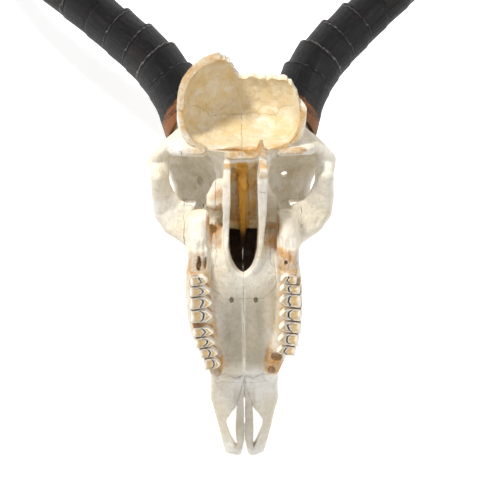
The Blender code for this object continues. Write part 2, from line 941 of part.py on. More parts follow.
def healed(item):
    """Merges the points of any folded sliver; says whether the skin is closed."""
    mesh_data = bmesh.new()
    mesh_data.from_mesh(item.data)
    for _ in range(HEALING_TRIES):
        torn = [v for v in mesh_data.verts if not v.is_manifold]
        if not torn:
            break
        bmesh.ops.remove_doubles(mesh_data, verts=torn, dist=SLIVER)
        bmesh.ops.dissolve_degenerate(mesh_data, edges=mesh_data.edges, dist=SLIVER / 50)
        loose = [v for v in mesh_data.verts if not v.link_faces]
        bmesh.ops.delete(mesh_data, geom=loose, context="VERTS")
    closed = all(v.is_manifold for v in mesh_data.verts)
    mesh_data.to_mesh(item.data)
    mesh_data.free()
    return closed


def thinned(item, triangles):
    """The item with fewer triangles; a little fewer still where the first try tears the skin."""
    whole = item.data
    count = sum(len(p.vertices) - 2 for p in whole.polygons)
    for attempt in range(THINNING_TRIES):
        reduce = item.modifiers.new("reduce", "DECIMATE")
        reduce.ratio = min(1.0, triangles / count * (1 - attempt * THINNING_STEP))
        apply_modifiers(item)
        if healed(item):
            break
        item.data = whole.copy()
    return item


def placed(item, side):
    """The item on its own side of the midline; it is drawn on the right."""
    if side == "left":
        item.data.transform(Matrix.Scale(-1, 4, (1, 0, 0)))
        item.data.flip_normals()
    return item


def grown(outline, reach):
    """The outline moved outward by reach, its corners kept sharp."""
    points = [Vector(p) for p in outline]
    count = len(points)
    area = sum(points[k - 1].cross(points[k]) for k in range(count))
    turn = 1 if area > 0 else -1
    made = []
    for k in range(count):
        before = (points[k] - points[k - 1]).normalized()
        after = (points[(k + 1) % count] - points[k]).normalized()
        first = Vector((before.y, -before.x)) * turn
        second = Vector((after.y, -after.x)) * turn
        middle = (first + second).normalized()
        made.append(tuple(points[k] + middle * (reach / max(0.3, middle.dot(first)))))
    return made


def taken(mass, name, outline, low, high, axis):
    """The part of the mass inside a prism, which leaves the mass with a thin seam."""
    piece = mass.copy()
    piece.data = mass.data.copy()
    piece.name = name
    bpy.context.scene.collection.objects.link(piece)
    combined(piece, prism("region", outline, low, high, axis), "INTERSECT")
    wide = grown(outline, SEAM_GAP)
    combined(mass, prism("region", wide, low - SEAM_GAP, high + SEAM_GAP, axis), "DIFFERENCE")
    return largest_piece(piece)


def pair_taken(mass, name, outline, low, high, axis):
    """Two bones that mirror each other, taken from both sides of the mass."""
    made = [taken(mass, name + "_right", outline, low, high, axis)]
    if axis == "X":
        made.append(taken(mass, name + "_left", outline, -high, -low, axis))
    else:
        made.append(taken(mass, name + "_left", [(-a, b) for a, b in outline], low, high, axis))
    return made


def halved(item, name):
    """Left and right half of an item, parted at the midline."""
    far = 300
    box = ((-far, -far), (far, -far), (far, far), (-far, far))
    left = item.copy()
    left.data = item.data.copy()
    bpy.context.scene.collection.objects.link(left)
    combined(left, prism("half", box, -far, -SEAM_GAP / 2, "X"), "INTERSECT")
    combined(item, prism("half", box, SEAM_GAP / 2, far, "X"), "INTERSECT")
    item.name = name + "_right"
    left.name = name + "_left"
    return [largest_piece(item), largest_piece(left)]


def bones():
    """The named bones of the skull, cut from one mass along their sutures."""
    mass = skull_mass()
    made = []
    for name, outline, low, high, axis in MIDLINE_PAIRS:
        made += halved(taken(mass, name, outline, low, high, axis), name)
    for name, outline, low, high, axis in SINGLE_BONES:
        made.append(taken(mass, name, outline, low, high, axis))
    made += halved(taken(mass, "palatine", PALATINE_PLAN, -37.5, 20, "Z"), "palatine")
    for name, outline, low, high, axis in SIDE_PAIRS:
        made += pair_taken(mass, name, outline, low, high, axis)
    made.append(taken(mass, "sphenoid", SPHENOID_SIDE, -22, 22, "X"))
    made += halved(taken(mass, "maxilla", MAXILLA_SIDE, -90, 90, "X"), "maxilla")
    made += halved(largest_piece(mass), "frontal")
    for item in made:
        thinned(item, PIECE_KEEP * sum(len(p.vertices) - 2 for p in item.data.polygons))
        largest_piece(item)
    return made


def horns():
    made = []
    for side in HORN_SIDE:
        sheath = horn_sheath("horn_sheath_" + side, side)
        combined(sheath, pedicle("socket", side, SOCKET_SLACK, SOCKET_SLACK), "DIFFERENCE")
        combined(sheath, brain(CASE_WALL + SEAT_SLACK), "DIFFERENCE")
        made.append(placed(sheath, side))
    return made


def finished(item, material):
    """Turns an item to the resting pose in metres, with smooth shading and its material."""
    item.data.transform(REST)
    item.data.materials.clear()
    item.data.materials.append(material)
    mesh_data = bmesh.new()
    mesh_data.from_mesh(item.data)
    bmesh.ops.triangulate(mesh_data, faces=mesh_data.faces)
    for face in mesh_data.faces:
        face.smooth = True
    for edge in mesh_data.edges:
        edge.smooth = edge.calc_face_angle(math.pi) < math.radians(SMOOTH_BELOW_DEG)
    mesh_data.to_mesh(item.data)
    mesh_data.free()


def surface(name, colour, roughness):
    material = bpy.data.materials.new(name)
    material.use_nodes = True
    shader = material.node_tree.nodes["Principled BSDF"]
    shader.inputs["Base Color"].default_value = (*colour, 1)
    shader.inputs["Roughness"].default_value = roughness
    return material


def main():
    clear_scene()
    made = [(item, BONE_COLOUR, 0.55) for item in bones()]
    made += [(item, HORN_COLOUR, 0.4) for item in horns()]
    for item, colour, roughness in made:
        finished(item, surface(item.name, colour, roughness))
    points = [v.co for item, _, _ in made for v in item.data.vertices]
    low = Vector([min(p[axis] for p in points) for axis in range(3)])
    high = Vector([max(p[axis] for p in points) for axis in range(3)])
    shift = -(low + high) / 2
    shift.z = -low.z
    for item, _, _ in made:
        item.data.transform(Matrix.Translation(shift))


main()
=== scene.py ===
"""Impala skull, life size, palate up, resting on its muzzle and its horn tips.

Every piece is modelled in the skull's own frame, in millimetres: X is the animal's right, Y runs
back from the tip of the muzzle and Z points to the palate side. RestPose turns a finished piece
into the world frame, in metres.
"""

import logging
import math
from dataclasses import dataclass
from enum import Enum
from typing import Callable, Iterable, Sequence

import bmesh
import bpy
import numpy as np
from mathutils import Matrix, Vector, noise


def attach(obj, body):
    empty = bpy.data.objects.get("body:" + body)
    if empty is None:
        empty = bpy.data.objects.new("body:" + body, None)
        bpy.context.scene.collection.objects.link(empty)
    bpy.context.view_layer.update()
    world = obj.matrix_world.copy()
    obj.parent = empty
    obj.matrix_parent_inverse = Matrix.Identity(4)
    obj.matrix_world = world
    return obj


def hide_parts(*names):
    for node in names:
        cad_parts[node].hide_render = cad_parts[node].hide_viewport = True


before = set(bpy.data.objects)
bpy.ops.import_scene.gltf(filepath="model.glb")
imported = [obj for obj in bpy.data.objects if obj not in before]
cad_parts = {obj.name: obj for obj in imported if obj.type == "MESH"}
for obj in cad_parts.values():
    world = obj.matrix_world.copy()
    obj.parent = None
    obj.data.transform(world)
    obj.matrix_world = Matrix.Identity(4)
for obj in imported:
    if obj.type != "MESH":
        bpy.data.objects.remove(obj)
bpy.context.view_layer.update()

LOG = logging.getLogger("skull")
Row = tuple[float, ...]
Point2 = tuple[float, float]


# Numbers and tables


def between(table: Sequence[Row], share: float) -> float:
    """Smooth value at a share of the way along a table of (share, value).

    Args:
        table: Rows of share and value, shares rising.
        share: Where to read the table.

    Returns:
        The value there.
    """
    for (low, first), (high, second) in zip(table, table[1:]):
        if share <= high:
            part = max(0.0, (share - low) / (high - low))
            part = part * part * (3 - 2 * part)
            return first + (second - first) * part
    return table[-1][1]


def refined(rows: Sequence[Row], steps: int) -> list[Row]:
    """Catmull-Rom rows between the given rows.

    Args:
        rows: Rows of numbers.
        steps: New rows for each stretch.

    Returns:
        The finer rows, ends included.
    """
    made: list[Row] = []
    for k in range(len(rows) - 1):
        before = rows[max(k - 1, 0)]
        after = rows[min(k + 2, len(rows) - 1)]
        for step in range(steps):
            t = step / steps
            made.append(
                tuple(
                    0.5
                    * (
                        2 * b
                        + (c - a) * t
                        + (2 * a - 5 * b + 4 * c - d) * t * t
                        + (3 * b - a - 3 * c + d) * t**3
                    )
                    for a, b, c, d in zip(before, rows[k], rows[k + 1], after)
                )
            )
    made.append(tuple(float(v) for v in rows[-1]))
    return made


def eased(value: np.ndarray, low: float, high: float) -> np.ndarray:
    """Smooth step from 0 at low to 1 at high, either way round."""
    part = np.clip((value - low) / (high - low), 0, 1)
    return part * part * (3 - 2 * part)


def banded(value: np.ndarray, start: Point2, end: Point2) -> np.ndarray:
    """Share that rises over start and falls over end."""
    return eased(value, *start) * eased(value, end[1], end[0])


def beside(x: np.ndarray, y: np.ndarray, first: Point2, second: Point2, reach: float) -> np.ndarray:
    """Share to which points lie along the line from first to second.

    Args:
        x, y: Places of the points.
        first, second: Ends of the line.
        reach: Distance at which the share is 0.

    Returns:
        The shares, 1 on the line.
    """
    run = np.subtract(second, first)
    part = np.clip(((x - first[0]) * run[0] + (y - first[1]) * run[1]) / (run @ run), 0, 1)
    gap = np.hypot(x - first[0] - part * run[0], y - first[1] - part * run[1])
    return eased(gap, reach, reach * 0.3)


@dataclass(frozen=True)
class RestPose:
    """Where the skull lies: turned about X, then set on the floor with its footprint centred."""

    pitch_deg: float = 42.75
    shift_mm: tuple[float, float, float] = (9.893, -337.085, 4.167)

    def matrix(self) -> Matrix:
        """Skull frame in millimetres to world frame in metres.

        Returns:
            The transform of a finished piece.
        """
        return (
            Matrix.Scale(0.001, 4)
            @ Matrix.Translation(self.shift_mm)
            @ Matrix.Rotation(math.radians(self.pitch_deg), 4, "X")
        )


REST = RestPose()


# Modelling in clay


class Clay:
    """Shapes in millimetres that are pressed together, melted into one skin and carved."""

    @staticmethod
    def lump(shape: bmesh.types.BMesh, name: str) -> bpy.types.Object:
        """Object that holds a finished bmesh.

        Args:
            shape: The bmesh, which is freed.
            name: Name of the object and its mesh.

        Returns:
            The linked object.
        """
        mesh = bpy.data.meshes.new(name)
        shape.to_mesh(mesh)
        shape.free()
        made = bpy.data.objects.new(name, mesh)
        bpy.context.scene.collection.objects.link(made)
        return made

    @staticmethod
    def loft(sections: Sequence[Sequence[Vector]], name: str = "loft") -> bpy.types.Object:
        """Closed skin drawn out from section to section.

        Args:
            sections: Closed outlines with the same number of points.
            name: Name of the lump.

        Returns:
            The lump.
        """
        shape = bmesh.new()
        face = shape.faces.new([shape.verts.new(p) for p in sections[0]])
        for count, section in enumerate(sections[1:]):
            made = bmesh.ops.extrude_face_region(shape, geom=[face])["geom"]
            if count:
                bmesh.ops.delete(shape, geom=[face], context="FACES_ONLY")
            face = next(item for item in made if isinstance(item, bmesh.types.BMFace))
            for vert, point in zip(face.verts, section):
                vert.co = point
        bmesh.ops.recalc_face_normals(shape, faces=shape.faces)
        return Clay.lump(shape, name)

    @staticmethod
    def ball(
        centre: Sequence[float], radii: Sequence[float], turn: Matrix | None = None, levels: int = 5
    ) -> bpy.types.Object:
        """Ellipsoid, turned about its centre.

        Args:
            centre: Its middle.
            radii: Half widths along X, Y and Z.
            turn: Rotation before it is placed.
            levels: Fineness of the sphere it starts from.

        Returns:
            The lump.
        """
        shape = bmesh.new()
        bmesh.ops.create_icosphere(shape, subdivisions=levels, radius=1.0)
        turned = turn.to_4x4() if turn else Matrix()
        place = Matrix.Translation(centre) @ turned @ Matrix.Diagonal((*radii, 1))
        bmesh.ops.transform(shape, matrix=place, verts=shape.verts)
        return Clay.lump(shape, "ball")

    @staticmethod
    def egg(
        centre: Sequence[float], radii: Sequence[float], square: float, round_: float
    ) -> bpy.types.Object:
        """Egg that is nearly square in plan at its front.

        Args:
            centre: Where its five radii meet.
            radii: Reach across, back, front, towards the roof and towards the palate.
            square: Power of the plan's front half; 2 is an ellipse.
            round_: Power of the plan's back half.

        Returns:
            The lump.
        """
        across, back, front, roof, palate = radii
        shape = bmesh.new()
        bmesh.ops.create_icosphere(shape, subdivisions=6, radius=1.0)
        for vert in shape.verts:
            a, b, c = vert.co
            power = round_ if b > 0 else square
            plan = (abs(a) ** power + abs(b) ** power) ** (1 / power)
            reach = 1 / math.sqrt(plan * plan + c * c)
            along, deep = (back if b > 0 else front), (palate if c > 0 else roof)
            vert.co = Vector((a * across, b * along, c * deep)) * reach
        bmesh.ops.translate(shape, verts=shape.verts, vec=centre)
        return Clay.lump(shape, "egg")

    @staticmethod
    def stretched(balls: Iterable[Row]) -> bpy.types.Object:
        """Skin stretched over balls given as (x, y, z, radius).

        Args:
            balls: The balls.

        Returns:
            The convex lump.
        """
        shape = bmesh.new()
        for x, y, z, radius in balls:
            place = Matrix.Translation((x, y, z))
            bmesh.ops.create_icosphere(shape, subdivisions=3, radius=radius, matrix=place)
        bmesh.ops.delete(shape, geom=list(shape.edges), context="EDGES_FACES")
        made = bmesh.ops.convex_hull(shape, input=shape.verts)
        inside = [item for item in made["geom_interior"] if isinstance(item, bmesh.types.BMVert)]
        bmesh.ops.delete(shape, geom=inside, context="VERTS")
        bmesh.ops.recalc_face_normals(shape, faces=shape.faces)
        return Clay.lump(shape, "stretched")

    @staticmethod
    def chain(groups: Sequence[Sequence[Row]]) -> list[bpy.types.Object]:
        """Skins stretched over each pair of neighbouring groups of balls."""
        return [Clay.stretched([*first, *second]) for first, second in zip(groups, groups[1:])]

    @staticmethod
    def prism(outline: Sequence[Point2], low: float, high: float, axis: str) -> bpy.types.Object:
        """Outline in the two other axes, drawn out along an axis from low to high.

        Args:
            outline: Closed outline.
            low: Start along the axis.
            high: End along the axis.
            axis: X, Y or Z.

        Returns:
            The lump.
        """
        place: Callable[[float, float, float], tuple[float, float, float]] = {
            "X": lambda a, b, c: (c, a, b),
            "Y": lambda a, b, c: (a, c, b),
            "Z": lambda a, b, c: (a, b, c),
        }[axis]
        return Clay.loft([[Vector(place(a, b, level)) for a, b in outline] for level in (low, high)], "prism")

    @staticmethod
    def wall(path: Sequence[Row]) -> bpy.types.Object:
        """Thin upright wall along (x, y, top z, bottom z, thickness) stations.

        Args:
            path: The stations.

        Returns:
            The lump.
        """
        rows = refined(path, 6)
        sections = []
        for k, (x, y, top, bottom, thickness) in enumerate(rows):
            ahead, behind = rows[min(k + 1, len(rows) - 1)], rows[max(k - 1, 0)]
            run = Vector((ahead[0] - behind[0], ahead[1] - behind[1]))
            side = Vector((run.y, -run.x)).normalized() * (thickness / 2)
            corners = ((side, top), (-side, top), (-side, bottom), (side, bottom))
            sections.append([Vector((x + s.x, y + s.y, z)) for s, z in corners])
        return Clay.loft(sections, "wall")

    @staticmethod
    def flipped(item: bpy.types.Object) -> bpy.types.Object:
        """The item moved to the other side of the midline."""
        item.data.transform(Matrix.Scale(-1, 4, (1, 0, 0)))
        item.data.flip_normals()
        return item

    @staticmethod
    def copied(item: bpy.types.Object) -> bpy.types.Object:
        """A second item with its own mesh.

        Args:
            item: The item to copy.

        Returns:
            The copy.
        """
        made = item.copy()
        made.data = item.data.copy()
        bpy.context.scene.collection.objects.link(made)
        return made

    @staticmethod
    def both(items: Iterable[bpy.types.Object]) -> list[bpy.types.Object]:
        """The items and their mirror images."""
        return [made for item in items for made in (item, Clay.flipped(Clay.copied(item)))]

    @staticmethod
    def settled(item: bpy.types.Object) -> bpy.types.Object:
        """The item with its modifiers worked into its mesh.

        Args:
            item: The item.

        Returns:
            The same item, without modifiers.
        """
        graph = bpy.context.evaluated_depsgraph_get()
        mesh = bpy.data.meshes.new_from_object(item.evaluated_get(graph))
        item.modifiers.clear()
        old = item.data
        item.data = mesh
        bpy.data.meshes.remove(old)
        return item

    @staticmethod
    def melted(items: Sequence[bpy.types.Object], voxel: float, smoothing: int) -> bpy.types.Object:
        """Items melted into one skin whose creases are softened.

        Args:
            items: The lumps, which are used up.
            voxel: Grain of the new skin, in millimetres.
            smoothing: Rounds of softening.

        Returns:
            The new lump.
        """
        shape = bmesh.new()
        for item in items:
            shape.from_mesh(item.data)
            bpy.data.objects.remove(item)
        made = Clay.lump(shape, "melted")
        melt = made.modifiers.new("melt", "REMESH")
        melt.mode = "VOXEL"
        melt.voxel_size = voxel
        if smoothing:
            soften = made.modifiers.new("soften", "SMOOTH")
            soften.factor = 0.5
            soften.iterations = smoothing
        return Clay.settled(made)

    @staticmethod
    def combined(item: bpy.types.Object, tool: bpy.types.Object, operation: str) -> bpy.types.Object:
        """The item after one Boolean with the tool, which is used up.

        Args:
            item: The item to change.
            tool: The other item, which is removed.
            operation: UNION, DIFFERENCE or INTERSECT.

        Returns:
            The same item.
        """
        modifier = item.modifiers.new("combine", "BOOLEAN")
        modifier.operation = operation
        modifier.solver = "MANIFOLD"
        modifier.object = tool
        Clay.settled(item)
        bpy.data.objects.remove(tool)
        return item

    @staticmethod
    def carved(item: bpy.types.Object, tools: Iterable[bpy.types.Object]) -> bpy.types.Object:
        """The item with each tool's shape taken out of it."""
        for tool in tools:
            Clay.combined(item, tool, "DIFFERENCE")
        return item

    @staticmethod
    def largest(item: bpy.types.Object) -> bpy.types.Object:
        """The item with only its largest closed skin kept.

        Args:
            item: The item.

        Returns:
            The same item.
        """
        shape = bmesh.new()
        shape.from_mesh(item.data)
        left = set(shape.verts)
        pieces = []
        while left:
            stack = [left.pop()]
            piece = set(stack)
            while stack:
                for edge in stack.pop().link_edges:
                    for vert in edge.verts:
                        if vert in left:
                            left.discard(vert)
                            piece.add(vert)
                            stack.append(vert)
            pieces.append(piece)
        pieces.sort(key=lambda piece: -len(piece))
        spare = [vert for piece in pieces[1:] for vert in piece]
        bmesh.ops.delete(shape, geom=spare, context="VERTS")
        shape.to_mesh(item.data)
        shape.free()
        return item


# Shader maths


class Wire:
    """A socket that takes part in Python sums; each sum adds its Math node."""

    def __init__(self, book: "NodeBook", socket: bpy.types.NodeSocket) -> None:
        """Wraps an output socket of a node in the book's tree."""
        self.book = book
        self.socket = socket

    def maths(self, operation: str, *others: "Wire | float") -> "Wire":
        """Math node of this value and others."""
        return self.book.node("ShaderNodeMath", {"operation": operation}, self, *others)

    def __add__(self, other: "Wire | float") -> "Wire":
        """Sum."""
        return self.maths("ADD", other)

    __radd__ = __add__

    def __sub__(self, other: "Wire | float") -> "Wire":
        """Difference."""
        return self.maths("SUBTRACT", other)

    def __rsub__(self, other: float) -> "Wire":
        """Difference from a number."""
        return self.book.node("ShaderNodeMath", {"operation": "SUBTRACT"}, other, self)

    def __mul__(self, other: "Wire | float") -> "Wire":
        """Product."""
        return self.maths("MULTIPLY", other)

    __rmul__ = __mul__

    def step(self, low: float, high: float) -> "Wire":
        """Smooth step from 0 at low to 1 at high."""
        settings = {"interpolation_type": "SMOOTHSTEP"}
        return self.book.node("ShaderNodeMapRange", settings, self, low, high, 0.0, 1.0)


class NodeBook:
    """The node tree of one material."""

    def __init__(self, name: str) -> None:
        """Starts a material whose Principled BSDF is ready to be fed.

        Args:
            name: Name of the material.
        """
        self.material = bpy.data.materials.new(name)
        self.material.use_nodes = True
        self.tree = self.material.node_tree
        self.shader = self.tree.nodes["Principled BSDF"]
        self.place = self.node("ShaderNodeTexCoord", {}, output="Object")

    def node(
        self, kind: str, settings: dict[str, object], *values: object, output: str | int = 0, **named: object
    ) -> Wire:
        """Adds a node.

        Args:
            kind: Type of the node.
            settings: Properties that are set first.
            values: Values or wires of the sockets in order; None leaves one alone.
            output: Name or number of the output to return.
            named: Values or wires by socket name, with _ for a space.

        Returns:
            The wanted output.
        """
        made = self.tree.nodes.new(kind)
        for key, value in settings.items():
            setattr(made, key, value)
        pairs = [(made.inputs[k], value) for k, value in enumerate(values) if value is not None]
        pairs += [(made.inputs[key.replace("_", " ")], value) for key, value in named.items()]
        for socket, value in pairs:
            self.feed(socket, value)
        return Wire(self, made.outputs[output])

    def feed(self, socket: bpy.types.NodeSocket, value: object) -> None:
        """Links a wire to a socket, or sets the socket to a value.

        Args:
            socket: Input socket.
            value: Wire or constant.
        """
        if isinstance(value, Wire):
            self.tree.links.new(value.socket, socket)
        else:
            socket.default_value = value

    def speckle(
        self, scale: float, detail: float = 4, stretch: Sequence[float] = (1, 1, 1), rough: float = 0.55
    ) -> Wire:
        """Noise in the skull's own directions; scale is in cells for each metre.

        Args:
            scale: Cells for each metre.
            detail: Octaves.
            stretch: Scale along each of the skull's axes.
            rough: Share of the finer octaves.

        Returns:
            The noise, from 0 to 1.
        """
        turned = self.node(
            "ShaderNodeMapping",
            {},
            self.place,
            Rotation=(-math.radians(REST.pitch_deg), 0, 0),
            Scale=tuple(stretch),
        )
        return self.node("ShaderNodeTexNoise", {}, Vector=turned, Scale=scale, Detail=detail, Roughness=rough)

    def attribute(self, name: str) -> Wire:
        """Value that the piece carries on its points."""
        return self.node("ShaderNodeAttribute", {"attribute_name": name}, output="Fac")

    def mix(self, share: Wire | float, first: object, second: object, blend: str = "MIX") -> Wire:
        """Mixes two colours.

        Args:
            share: Share of the second colour.
            first: Colour or wire.
            second: Colour or wire.
            blend: Blend type.

        Returns:
            The mixed colour.
        """
        made = self.tree.nodes.new("ShaderNodeMix")
        made.data_type = "RGBA"
        made.blend_type = blend
        self.feed(made.inputs["Factor"], share)
        for name, value in (("A", first), ("B", second)):
            socket = next(s for s in made.inputs if s.name == name and s.type == "RGBA")
            self.feed(socket, value if isinstance(value, Wire) else (*value, 1))
        return Wire(self, next(s for s in made.outputs if s.type == "RGBA"))

    def finish(
        self, colour: Wire, roughness: Wire | float, relief: Wire, depth: float, reach: float = 0.001
    ) -> None:
        """Feeds the shader.

        Args:
            colour: Base colour.
            roughness: Roughness.
            relief: Height for the bump.
            depth: Strength of the bump.
            reach: Distance that a height of one stands for, in metres.
        """
        self.feed(self.shader.inputs["Base Color"], colour)
        self.feed(self.shader.inputs["Roughness"], roughness)
        bump = self.node("ShaderNodeBump", {}, Strength=depth, Distance=reach, Height=relief)
        self.feed(self.shader.inputs["Normal"], bump)


def srgb(red: int, green: int, blue: int) -> tuple[float, float, float]:
    """Linear colour of a display colour in steps of 255."""
    shares = [c / 255 for c in (red, green, blue)]
    return tuple(c / 12.92 if c <= 10 / 255 else ((c + 0.055) / 1.055) ** 2.4 for c in shares)


@dataclass(frozen=True)
class BoneFinish:
    """Dry weathered bone: cream, with ochre, brown and bleached areas carried by the points."""

    cream: tuple[float, float, float] = srgb(240, 230, 209)
    bleached: tuple[float, float, float] = srgb(253, 250, 243)
    tan: tuple[float, float, float] = srgb(230, 205, 152)
    ochre: tuple[float, float, float] = srgb(224, 160, 66)
    amber: tuple[float, float, float] = srgb(222, 164, 58)
    brown: tuple[float, float, float] = srgb(92, 60, 30)
    grey: tuple[float, float, float] = srgb(190, 179, 156)

    def material(self) -> bpy.types.Material:
        """Builds the node material.

        Returns:
            The material.
        """
        book = NodeBook("bone")
        broad = book.speckle(26, 3)
        patch = book.speckle(85, 6, rough=0.65)
        fine = book.speckle(480, 6, (1, 0.3, 1), 0.65)
        crumbs = book.speckle(900, 3, rough=0.7)
        pores = book.node("ShaderNodeTexVoronoi", {}, Vector=book.place, Scale=520)
        colour = book.mix(broad.step(0.4, 0.64) * 0.8, self.cream, self.bleached)
        colour = book.mix(patch.step(0.52, 0.78) * 0.35, colour, self.tan)
        for name, tint, soft in (
            ("grey", self.grey, 0.7),
            ("tan", self.tan, 1.5),
            ("ochre", self.ochre, 1.9),
            ("amber", self.amber, 1.2),
            ("brown", self.brown, 0.6),
        ):
            share = book.attribute(name)
            uneven = share + (patch - 0.5) * soft * (share * 5).step(0, 1)
            colour = book.mix(uneven.step(0.05, 0.95), colour, tint)
        worn = book.attribute("ochre").step(0.15, 0.5)
        colour = book.mix(worn * crumbs.step(0.54, 0.68) * 0.55, colour, self.bleached)
        colour = book.mix(worn * (1 - crumbs).step(0.6, 0.75) * 0.5, colour, self.brown)
        colour = book.mix(fine.step(0.4, 0.7) * 0.2, colour, self.grey, "MULTIPLY")
        dots = 1 - pores.step(0.04, 0.2)
        colour = book.mix(dots * patch.step(0.5, 0.7) * 0.45, colour, self.ochre)
        relief = fine * 0.7 + patch * 1.8 - dots * 0.5 + worn * crumbs * 1.8
        book.finish(colour, 0.46 + fine * 0.2, relief, 0.9, 0.0011)
        return book.material


@dataclass(frozen=True)
class EnamelFinish:
    """Tooth crowns: white enamel, worn dentine, stained roots, dark crescent hollows and painted shade
    between the lobes.
    """

    enamel: tuple[float, float, float] = srgb(248, 243, 232)
    dentine: tuple[float, float, float] = srgb(238, 202, 140)
    stain: tuple[float, float, float] = srgb(196, 148, 88)
    # Dark of the crescent hollows, also used as painted shade between the lobes.
    hollow: tuple[float, float, float] = srgb(44, 28, 22)

    def material(self) -> bpy.types.Material:
        """Builds the node material.

        Returns:
            The material.
        """
        book = NodeBook("enamel")
        patch = book.speckle(260, 5, rough=0.6)
        fine = book.speckle(900, 3)
        colour = book.mix(patch.step(0.5, 0.75) * 0.4, self.enamel, self.dentine)
        colour = book.mix(book.attribute("dentine") * (0.45 + patch * 0.9), colour, self.dentine)
        stained = book.attribute("stain") + (patch - 0.5) * 0.9 * book.attribute("stain").step(0, 0.3)
        colour = book.mix(stained.step(0.1, 0.9), colour, self.stain)
        colour = book.mix((1 - patch).step(0.55, 0.8) * book.attribute("dentine") * 0.6, colour, self.stain)
        # The hollow share also carries painted shade high on the side walls where lobes meet.
        colour = book.mix(book.attribute("hollow"), colour, self.hollow)
        roughness = 0.34 + patch * 0.25 + book.attribute("hollow") * 0.4
        book.finish(colour, roughness, fine + patch * 3, 0.6, 0.0005)
        return book.material


@dataclass(frozen=True)
class HornFinish:
    """Dark fibrous horn, fibres along its length, brown at its base, with a painted shadow under each ring
    crest and a crest line lightened by wear and a painted highlight.
    """

    black: tuple[float, float, float] = srgb(19, 18, 22)
    edge: tuple[float, float, float] = srgb(92, 87, 90)
    # Light grey of the ring crests: partly wear, partly a painted highlight on the crest edge.
    worn: tuple[float, float, float] = srgb(150, 143, 138)
    brown: tuple[float, float, float] = srgb(88, 62, 46)
    amber: tuple[float, float, float] = srgb(172, 108, 58)
    umber: tuple[float, float, float] = srgb(92, 54, 34)

    def material(self) -> bpy.types.Material:
        """Builds the node material.

        Returns:
            The material.
        """
        book = NodeBook("horn")
        around = book.node("ShaderNodeUVMap", {"uv_map": "length"})
        fibre_place = book.node("ShaderNodeMapping", {}, around, Scale=(110, 9, 1))
        fibres = book.node("ShaderNodeTexNoise", {}, Vector=fibre_place, Scale=3.0, Detail=8, Roughness=0.7)
        coarse_place = book.node("ShaderNodeMapping", {}, around, Scale=(26, 5, 1))
        coarse = book.node("ShaderNodeTexNoise", {}, Vector=coarse_place, Scale=1.6, Detail=5)
        patch = book.speckle(70, 5)
        layer_place = book.node("ShaderNodeMapping", {}, around, Scale=(2, 340, 1))
        layers = book.node("ShaderNodeTexNoise", {}, Vector=layer_place, Scale=1.6, Detail=5)
        crest, root = book.attribute("crest"), book.attribute("root")
        # Painted shadow: black mixed into the groove on the base side of each ring crest.
        shade = crest.step(0.25, 0.5) * (1 - crest.step(0.55, 0.75))
        colour = book.mix(fibres.step(0.5, 0.78) * 0.85, self.black, self.edge)
        colour = book.mix(patch.step(0.55, 0.78) * coarse.step(0.4, 0.6) * 0.45, colour, self.brown)
        colour = book.mix(shade * coarse.step(0.35, 0.55) * 0.8, colour, self.black)
        # Crest line: partly wear, partly a painted highlight where the crest edge faces the light.
        colour = book.mix(crest.step(0.72, 0.95) * coarse.step(0.3, 0.65) * 0.75, colour, self.worn)
        rooted = (root * 1.5 + coarse * 0.8 - 0.8).step(0, 0.5)
        colour = book.mix(rooted * 0.92, colour, book.mix(layers.step(0.42, 0.6), self.amber, self.umber))
        relief = fibres * 1.6 + coarse * 2 + patch * 0.6 + layers * root * 1.5 - shade * 0.8
        book.finish(colour, 0.36 + fibres * 0.3, relief, 1.0, 0.0014)
        book.shader.inputs["Specular IOR Level"].default_value = 0.3
        return book.material


# The horns


class Side(Enum):
    """Left or right of the animal."""

    LEFT = "left"
    RIGHT = "right"


